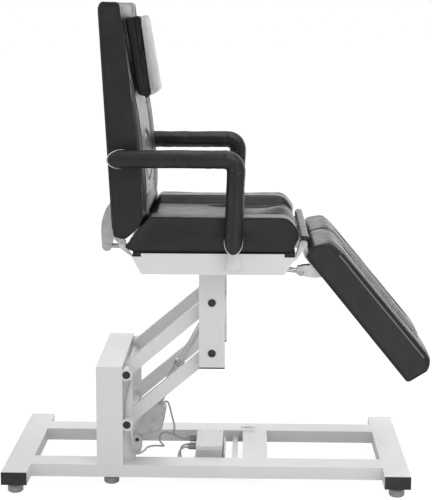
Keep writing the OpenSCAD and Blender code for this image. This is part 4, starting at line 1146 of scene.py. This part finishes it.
def add_hardware():
    """Bolts on the leg levers, the drive's foot pin, end plates under the columns and a slot plug."""
    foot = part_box("drive_foot_bracket")
    column_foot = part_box("seat_columns")[0][2]
    pin = [(7.8, 0), (7.8, 1.6), (6.9, 2.0), (5.6, 2.0), (5.4, 0.8)]
    clip = [(4.4, 0.5), (4.4, 2.2), (3.2, 2.8)]
    for (word, side), edge in zip(SIDES, (foot[1][1], foot[0][1])):
        centre = at(DRIVE_FOOT[0], edge / MM - side * 0.3, DRIVE_FOOT[1])
        revolve(f"{word}_foot_pin", pin, centre, (0, side, 0), ZINC, "base", 24)
        revolve(f"{word}_foot_clip", clip, centre, (0, side, 0), BLACK_PLASTIC, "base", 20)
        block(f"{word}_column_plate", (80.8, 40.8, 4.4), at(COLUMN_X, side * 170, column_foot / MM - 1.6), 0,
              BLACK_PLASTIC, "carriage", 0.3)
    oblong("slot_plug", (763, RAIL_Y), 50, 13, RAIL_TOP - 0.5, RAIL_TOP + 0.8, GREY_PLASTIC)
    oblong("slot_core", (763, RAIL_Y), 22, 6, RAIL_TOP, RAIL_TOP + 1.3, PLUG_PLASTIC)
    turned = [(8.5, 0), (8.5, 1.2), (6.4, 2.0), (6.2, 1.0), (4.6, 1.0), (4.4, 2.6), (2.0, 2.8)]
    small = [(3.1, 0), (3.1, 1.2), (2.0, 2.0)]
    for word, side in SIDES:
        away, body = (0, side, 0), f"{word}_leg"
        for number, (x, y, z, profile) in enumerate(((919, 255, 694, turned), (903, 252, 699.5, small))):
            revolve(f"{word}_lever_bolt_{number}", profile, at(x, side * y, z), away, ZINC, body, 24)
        place = lean(LEG_HINGE, -LEG_DROP, side * 252)
        for number, (u, w) in enumerate(((12.7, -2.6), (21.3, -9.4), (27.8, -14.7))):
            revolve(f"{word}_hinge_screw_{number}", small, on(place, u, 0, w), away, ZINC, body, 16)


add_hardware()

for word, side in reversed(SIDES):
    side_seam(f"back_side_seam_{word}_1", back_pad, side, 17, lambda x, z: x > 40 and 70 < z < 470,
              "backrest", 0.0017)
    side_seam(f"back_top_seam_{word}", back_pad, side, 12, lambda x, z: z > 640, "backrest", 0.0013)
for word, pad in leg_pads.items():
    for side in (-1, 1):
        side_seam(f"{word}_leg_low_seam_{side + 1}", pad, side, 9, lambda x, z: z < -8 and 40 < x < 522,
                  f"{word}_leg", 0.0015)
        side_seam(f"{word}_leg_high_seam_{side + 1}", pad, side, 6, lambda x, z: z > 80 and 90 < x < 500,
                  f"{word}_leg", 0.0015)

add_drive_trim()
add_box_trim()
add_staples()


# Floor and light

def add_floor():
    """A pale floor that fades into a white backdrop and keeps the chair's soft shadow."""
    mesh = bpy.data.meshes.new("floor")
    mesh.from_pydata([(-40, -40, 0), (40, -40, 0), (40, 40, 0), (-40, 40, 0)], [], [(0, 1, 2, 3)])
    material, tree, shader = nodes_of("floor_paper")
    shader.inputs["Base Color"].default_value = (0.9, 0.9, 0.9, 1)
    shader.inputs["Roughness"].default_value = 0.9
    roughen(tree, shader, 60, 0.0002, 0.1)
    glow = tree.nodes.new("ShaderNodeEmission")
    glow.inputs["Strength"].default_value = 1.2
    mix = tree.nodes.new("ShaderNodeMixShader")
    rays = tree.nodes.new("ShaderNodeLightPath")
    share = tree.nodes.new("ShaderNodeMath")
    share.operation = "MULTIPLY"
    share.inputs[1].default_value = 0.76
    tree.links.new(rays.outputs["Is Camera Ray"], share.inputs[0])
    tree.links.new(share.outputs["Value"], mix.inputs["Fac"])
    tree.links.new(shader.outputs["BSDF"], mix.inputs[1])
    tree.links.new(glow.outputs["Emission"], mix.inputs[2])
    out = tree.nodes["Material Output"]
    tree.links.new(mix.outputs["Shader"], out.inputs["Surface"])
    dressed("floor", mesh, material)


def add_lamp(name, location, target, size, energy):
    data = bpy.data.lights.new(name, "AREA")
    data.shape = "RECTANGLE"
    data.size, data.size_y = size
    data.energy = energy
    lamp = placed(name, data)
    lamp.location = location
    lamp.visible_camera = False
    lamp.rotation_euler = (Vector(target) - Vector(location)).to_track_quat("-Z", "Y").to_euler()


def add_light():
    world = bpy.data.worlds.new("studio")
    world.use_nodes = True
    tree = world.node_tree
    ambient = tree.nodes["Background"]
    ambient.inputs["Color"].default_value = (1.0, 1.0, 1.0, 1)
    ambient.inputs["Strength"].default_value = 0.5
    white = tree.nodes.new("ShaderNodeBackground")
    white.inputs["Color"].default_value = (1, 1, 1, 1)
    mix = tree.nodes.new("ShaderNodeMixShader")
    rays = tree.nodes.new("ShaderNodeLightPath")
    tree.links.new(rays.outputs["Is Camera Ray"], mix.inputs["Fac"])
    tree.links.new(ambient.outputs["Background"], mix.inputs[1])
    tree.links.new(white.outputs["Background"], mix.inputs[2])
    tree.links.new(mix.outputs["Shader"], tree.nodes["World Output"].inputs["Surface"])
    bpy.context.scene.world = world
    add_lamp("key", (1.6, -2.6, 3.4), (0, 0, 0.7), (2.2, 1.6), 40)
    add_lamp("overhead", (0.4, 0.3, 3.6), (0, 0, 0.8), (2.6, 2.0), 34)
    add_lamp("fill", (-2.8, -2.2, 1.6), (0, 0, 0.7), (1.8, 1.8), 16)
    add_lamp("backdrop", (0.9, 3.4, 1.3), (0, 0, 0.9), (4.6, 2.8), 80)
    add_lamp("floor_card", (0.95, -2.1, 0.05), (0.55, -0.2, 0.6), (1.5, 1.0), 7)


add_floor()
add_light()
bpy.context.scene.view_settings.view_transform = "Standard"
